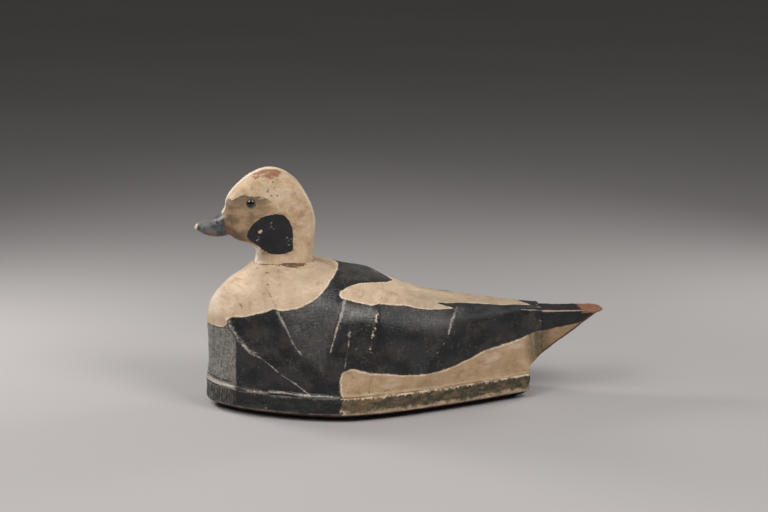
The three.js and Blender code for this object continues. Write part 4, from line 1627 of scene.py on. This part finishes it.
def painted_tail() -> bpy.types.Material:
    """The tail block: black above, cream below, with rubbed arrises, a bare tip and painted shade by
    the join.
    """
    mixer = Finish("painted_tail")
    x, y, z = (mixer.axis(letter) for letter in "XYZ")
    bite = mixer.noise(2.4, 3.0, shift=2.0)
    wander = mixer.step(mixer.noise(9.0, 3.0, shift=5.0), 0.2, 0.8, -0.8, 0.8)
    edge = mixer.total(mixer.product(mixer.total(x, -157.0), 0.185), 75.0, wander)
    is_cream = mixer.step(mixer.total(z, mixer.product(edge, -1.0)), 0.5, -0.5)
    # The cream is stained and darkened toward brown: stain, and painted shade for the tail's low,
    # downward-facing side.
    stain_and_shade = mixer.step(bite, 0.2, 0.7, 0.5, 0.9)
    cream = mixer.mix(stain_and_shade, cream_coat(mixer, False, 0.8), PAINT.stain)
    cream = mixer.mix(0.3, cream, PAINT.face_brown)
    colour = mixer.mix(is_cream, black_coat(mixer, False, faded=0.3), cream)
    # Painted shade with grime: the cream next to the join with the body turns olive, carrying on the
    # hollow's shade.
    join_shade_and_grime = mixer.product(
        mixer.step(x, 172.0, 159.0, 0.0, 0.8), mixer.step(bite, 0.3, 0.7, 0.7, 1.0), is_cream
    )
    colour = mixer.mix(join_shade_and_grime, colour, PAINT.olive)
    side = mixer.step(mixer.reckon("ABSOLUTE", y), 15.0, 16.4)
    high = mixer.step(mixer.total(z, mixer.product(bite, 1.6)), 96.4, 97.4)
    colour = mixer.mix(mixer.product(side, high, 0.9), colour, PAINT.rosy_wood)
    slope = mixer.total(mixer.product(mixer.total(x, -157.3), 0.7212), 48.5)
    over_slope = mixer.total(z, mixer.product(slope, -1.0), mixer.product(bite, -2.0))
    low_arris = mixer.step(over_slope, 3.0, 1.4)
    colour = mixer.mix(mixer.product(low_arris, 0.85), colour, PAINT.dark_wood)
    tip = mixer.step(mixer.total(x, mixer.product(bite, 9.0)), 206.0, 209.0)
    on_top = mixer.step(mixer.total(z, mixer.product(bite, 3.0)), 94.4, 95.4)
    bare = mixer.mix(mixer.step(bite, 0.4, 0.75), PAINT.bare_red, PAINT.dark_wood)
    bare = mixer.mix(0.5, bare, PAINT.red_wood)
    colour = mixer.mix(mixer.product(tip, on_top, 0.95), colour, bare)
    grain = mixer.noise(1.6, 3.0, stretch=(12.0, 1.0, 1.0), shift=9.0)
    normal = mixer.relief(mixer.total(mixer.product(bite, 0.5), grain), 0.16)
    return mixer.finish(colour, mixer.step(is_cream, 0.0, 1.0, 0.52, 0.68), normal)


def painted_head() -> bpy.types.Material:
    """The head: cream, with a brown face, a black cheek, a slate bill, worn places and painted light on
    its rim, throat and bill.
    """
    mixer = Finish("painted_head")
    bite = mixer.noise(2.4, 3.0, shift=2.0)
    broken = mixer.broken(bite, 8.0, 4.0, 0.25)
    ragged = mixer.ragged(3.0, 0.8, 0.5)
    x, y, z = (mixer.axis(letter) for letter in "XYZ")
    rim = mixer.stored("rim")
    # Painted highlight: the rim on the far half of the head and at the nape is painted paler and kept
    # from yellowing, for the light along the outline, with some wear; the lower head is also kept from
    # yellowing, as painted light.
    nape = mixer.product(mixer.step(x, -122.0, -110.0, 0.0, 0.7), mixer.step(z, 186.0, 200.0))
    edge = mixer.greatest(mixer.step(y, -8.0, 6.0, 0.12, 1.0), nape)
    edge = mixer.product(mixer.step(rim, 0.4, 0.95), edge)
    yellowing_outside_lit_parts = mixer.step(mixer.total(edge, mixer.step(z, 192.0, 176.0, 0.0, 0.5)), 0.0, 1.0, 1.0, 0.1)
    yellowing = mixer.product(yellowing_outside_lit_parts, mixer.step(broken, 0.2, 0.7, 0.4, 0.95))
    colour = cream_coat(mixer, False, yellowing)
    rim_highlight_and_wear = mixer.product(edge, mixer.step(broken, 0.25, 0.6, 0.5, 0.9))
    colour = mixer.mix(rim_highlight_and_wear, colour, PAINT.bright_rim)
    inside = mixer.total(mixer.stored("face"), ragged)
    streak = mixer.noise(9.0, 5.0, stretch=(1.6, 1.0, 0.8), shift=17.0)
    brown = mixer.mix(mixer.step(streak, 0.36, 0.62), PAINT.face_brown, PAINT.face_tan)
    streaky_z = mixer.total(z, mixer.product(streak, 12.0))
    for dark in (
        mixer.step(streaky_z, 228.0, 241.0, 0.0, 0.7),
        mixer.step(streaky_z, 214.0, 200.0, 0.0, 0.55),
        mixer.step(inside, 2.2, 0.5, 0.0, 0.85),
    ):
        brown = mixer.mix(dark, brown, PAINT.face_edge)
    lobe = mixer.step(mixer.total(mixer.product(x, 0.03), mixer.product(streak, -2.4)), -5.2, -6.0)
    face = mixer.product(mixer.step(inside, -0.5, 0.5), lobe, mixer.step(edge, 0.5, 0.1, 0.1, 0.94))
    colour = mixer.mix(face, colour, brown)
    colour = mixer.mix(mixer.product(mixer.spot(*EYE_PLACE, 8.4), 0.25), colour, PAINT.cream)
    colour = mixer.mix(mixer.spot(-168.0, 228.7, 7.0), colour, PAINT.grime)
    worn_crown = mixer.total(mixer.stored("crown_wear"), mixer.step(broken, 0.2, 0.8, -2.2, 2.2))
    worn_crown = mixer.step(worn_crown, -1.0, 0.8)
    bare_crown = mixer.mix(mixer.step(bite, 0.35, 0.7), PAINT.bare_red, PAINT.red_wood)
    bare = mixer.product(worn_crown, mixer.step(broken, 0.3, 0.5, 0.75, 0.95))
    colour = mixer.mix(bare, colour, bare_crown)
    pitted = mixer.product(worn_crown, mixer.step(bite, 0.58, 0.7, 0.0, 0.6))
    colour = mixer.mix(pitted, colour, PAINT.dark_wood)
    freckle = mixer.step(mixer.noise(3.2, 3.0, shift=77.0), 0.6, 0.68)
    freckled = mixer.product(freckle, mixer.spot(-144.0, 251.0, 14.0), 0.6)
    colour = mixer.mix(freckled, colour, PAINT.red_wood)
    # Painted light: the front of the throat, under the chin, is painted near-white for the light on it.
    throat = mixer.product(mixer.step(x, -150.0, -161.0), mixer.step(z, 190.0, 184.0))
    colour = mixer.mix(mixer.product(throat, 0.9), colour, PAINT.painted_light_cream)
    tinge = mixer.product(mixer.spot(-117.0, 209.0, 13.0), mixer.step(broken, 0.35, 0.7, 0.0, 0.4))
    colour = mixer.mix(tinge, colour, PAINT.stain)
    pins = ((-146.0, 237.3), (-139.5, 237.3), (-144.0, 252.0), (-150.0, 242.0))
    pinned = mixer.greatest(*(mixer.spot(px, pz, 1.2) for px, pz in pins))
    colour = mixer.mix(mixer.product(pinned, 0.85), colour, PAINT.grime)
    at_cheek = mixer.total(mixer.stored("cheek"), mixer.product(ragged, 0.7))
    halo = mixer.product(mixer.step(at_cheek, -4.5, -0.5), mixer.step(broken, 0.35, 0.7, 0.15, 0.75))
    colour = mixer.mix(halo, colour, PAINT.stain)
    smudge = mixer.product(mixer.spot(-154.0, 177.5, 7.0), mixer.step(broken, 0.25, 0.6, 0.4, 0.8))
    smudge = mixer.product(smudge, mixer.step(y, -17.0, -23.0))
    colour = mixer.mix(smudge, colour, PAINT.face_brown)
    cheek = mixer.step(at_cheek, -0.4, 0.4)
    colour = mixer.mix(cheek, colour, black_coat(mixer, False, faded=0.25))
    chips = (
        (-159.0, 198.5, 4.0), (-128.5, 187.0, 8.0), (-162.0, 191.0, 5.0), (-146.0, 205.0, 7.0),
    )
    chipped = mixer.greatest(*(mixer.spot(*chip) for chip in chips))
    flake = mixer.noise(2.0, 4.0, stretch=(1.4, 1.0, 0.8), shift=91.0)
    chipped = mixer.step(mixer.total(mixer.product(chipped, 0.5), flake), 1.02, 1.14)
    colour = mixer.mix(mixer.product(chipped, cheek, 0.6), colour, PAINT.dust)
    big_chip = mixer.spot(-159.4, 198.5, 2.2), mixer.spot(-157.6, 199.6, 1.8)
    big_chip = mixer.step(mixer.total(mixer.greatest(*big_chip), mixer.product(flake, 0.8)), 0.9, 1.2)
    colour = mixer.mix(mixer.product(big_chip, 0.85), colour, PAINT.rosy_cream)
    bill = mixer.step(mixer.total(mixer.stored("bill"), mixer.product(ragged, 0.4)), -0.8, 0.8)
    slate = mixer.mix(mixer.step(broken, 0.3, 0.7), PAINT.slate, PAINT.dark_slate)
    low_bill = mixer.product(mixer.step(z, 199.0, 192.0), mixer.step(x, -204.0, -214.0, 0.1, 0.8))
    slate = mixer.mix(low_bill, slate, PAINT.red_wood)
    nail = mixer.step(mixer.total(x, mixer.product(bite, 4.0)), -222.2, -224.8)
    slate = mixer.mix(mixer.product(nail, 0.9), slate, PAINT.pale_cream)
    # Painted highlight: the top rim of the bill near its tip is painted paler.
    ridge = mixer.product(
        mixer.step(rim, 0.55, 1.0), mixer.step(x, -198.0, -210.0), mixer.step(z, 202.0, 205.0)
    )
    slate = mixer.mix(mixer.product(ridge, mixer.step(bite, 0.3, 0.6, 0.1, 0.5)), slate, PAINT.dust)
    colour = mixer.mix(bill, colour, slate)
    above = mixer.stored("above_body")
    gouge = mixer.product(mixer.step(x, -139.0, -131.0), mixer.step(x, -114.0, -124.0), 2.0)
    depth = mixer.product(mixer.total(gouge, 2.1), mixer.step(x, -104.0, -110.0))
    depth = mixer.product(depth, mixer.step(broken, 0.2, 0.7, 0.8, 1.25))
    seam = mixer.step(mixer.total(above, mixer.product(depth, -1.0)), 0.4, -0.4)
    bare_seam = mixer.mix(mixer.step(bite, 0.4, 0.65), PAINT.grime, PAINT.gouge)
    colour = mixer.mix(mixer.product(seam, 0.9), colour, bare_seam)
    grain = mixer.noise(1.8, 3.0, stretch=(1.0, 1.0, 6.0), shift=9.0)
    normal = mixer.relief(mixer.total(bite, grain), 0.3)
    normal = mixer.relief(cheek, 0.15, normal)
    roughness = mixer.step(mixer.greatest(bill, cheek), 0.0, 1.0, 0.68, 0.42)
    return mixer.finish(colour, roughness, normal)


def eye_glass() -> bpy.types.Material:
    """Dark brown glass with a black pupil."""
    mixer = Finish("eye_glass")
    pupil = mixer.spot(*EYE_PLACE, 5.2)
    colour = mixer.mix(pupil, PAINT.glass_brown, PAINT.pupil)
    mixer.shader.inputs["Coat Weight"].default_value = 0.6
    mixer.shader.inputs["Coat Roughness"].default_value = 0.03
    return mixer.finish(colour, 0.12)


# Studio


@dataclass(frozen=True)
class SoftLight:
    """A square studio light that faces the decoy."""

    name: str
    azimuth: float
    elevation: float
    distance: float
    size: float
    power: float

    def hang(self, target: Vector) -> None:
        """Hangs the light at its angle around the target and turns it to face it."""
        turn, rise = math.radians(self.azimuth), math.radians(self.elevation)
        level = math.cos(rise)
        toward = Vector((level * math.cos(turn), level * math.sin(turn), math.sin(rise)))
        lamp = bpy.data.lights.new(self.name, "AREA")
        lamp.size = self.size
        lamp.energy = self.power
        holder = bpy.data.objects.new(self.name, lamp)
        holder.location = target + toward * self.distance
        holder.rotation_euler = toward.to_track_quat("Z", "Y").to_euler()
        bpy.context.scene.collection.objects.link(holder)


@dataclass(frozen=True)
class Studio:
    """A pale floor, soft lights and the camera, in metres."""

    floor_size: float = 60.0
    floor_dark: Colour = tint(168, 163, 161)
    floor_light: Colour = tint(175, 170, 168)
    floor_roughness: float = 0.9
    camera_place: tuple[float, float, float] = (-0.2926, -1.9408, 0.5787)
    camera_look: tuple[float, float, float] = (0.1361, 0.9686, -0.2079)
    lens: float = 84.7
    lights: tuple[SoftLight, ...] = (
        SoftLight("left_light", 212.0, 52.0, 1.7, 1.0, 9.0),
        SoftLight("front_light", 235.0, 42.0, 1.7, 0.8, 10.0),
        SoftLight("right_light", 305.0, 45.0, 1.7, 0.6, 13.5),
        SoftLight("rim_light", 148.0, 30.0, 1.0, 0.25, 4.4),
        SoftLight("back_light", 30.0, 24.0, 1.05, 0.22, 2.4),
    )
    target: tuple[float, float, float] = (0.0, 0.0, 0.1)
    world: Colour = (0.8, 0.8, 0.8)
    world_strength: float = 0.1

    def build(self) -> None:
        """Lays the floor, hangs the lights and sets up the camera."""
        half = self.floor_size / 2
        mesh = bpy.data.meshes.new("floor")
        corners = [(-half, -half, 0.0), (half, -half, 0.0), (half, half, 0.0), (-half, half, 0.0)]
        mesh.from_pydata(corners, [], [(0, 1, 2, 3)])
        floor = bpy.data.objects.new("floor", mesh)
        bpy.context.scene.collection.objects.link(floor)
        mixer = Finish("floor_paper")
        tone = mixer.step(mixer.noise(900.0, 2.0), 0.2, 0.8)
        paper = mixer.mix(tone, self.floor_dark, self.floor_light)
        floor.data.materials.append(mixer.finish(paper, self.floor_roughness))
        for light in self.lights:
            light.hang(Vector(self.target))
        sky = bpy.data.worlds.new("studio")
        sky.use_nodes = True
        background = sky.node_tree.nodes["Background"]
        background.inputs["Color"].default_value = (*self.world, 1.0)
        background.inputs["Strength"].default_value = self.world_strength
        bpy.context.scene.world = sky
        bpy.context.scene.view_settings.view_transform = "Standard"
        self._set_camera()

    def _set_camera(self) -> None:
        """Makes the camera, level with the horizon and looking along its given direction."""
        look = Vector(self.camera_look).normalized()
        right = look.cross(Vector((0.0, 0.0, 1.0))).normalized()
        up = right.cross(look)
        lens = bpy.data.cameras.new("camera")
        lens.lens = self.lens
        lens.sensor_width = 36.0
        camera = bpy.data.objects.new("camera", lens)
        turned = Matrix((right, up, -look)).transposed().to_4x4()
        camera.matrix_world = Matrix.Translation(Vector(self.camera_place)) @ turned
        bpy.context.scene.collection.objects.link(camera)
        bpy.context.scene.camera = camera


def main() -> None:
    """Builds the decoy piece by piece, then its floor, lights and camera."""
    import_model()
    body = CanvasBody()
    body.build(painted_canvas())
    BottomBoard(body.hull).build(painted_board())
    TailBlock().build(painted_tail())
    Head().build(painted_head(), body.hull)
    glass = eye_glass()
    for side in Side:
        Eye(side).build(glass)
    Studio().build()


if __name__ == "__main__":
    logging.basicConfig(level=logging.INFO)
    main()
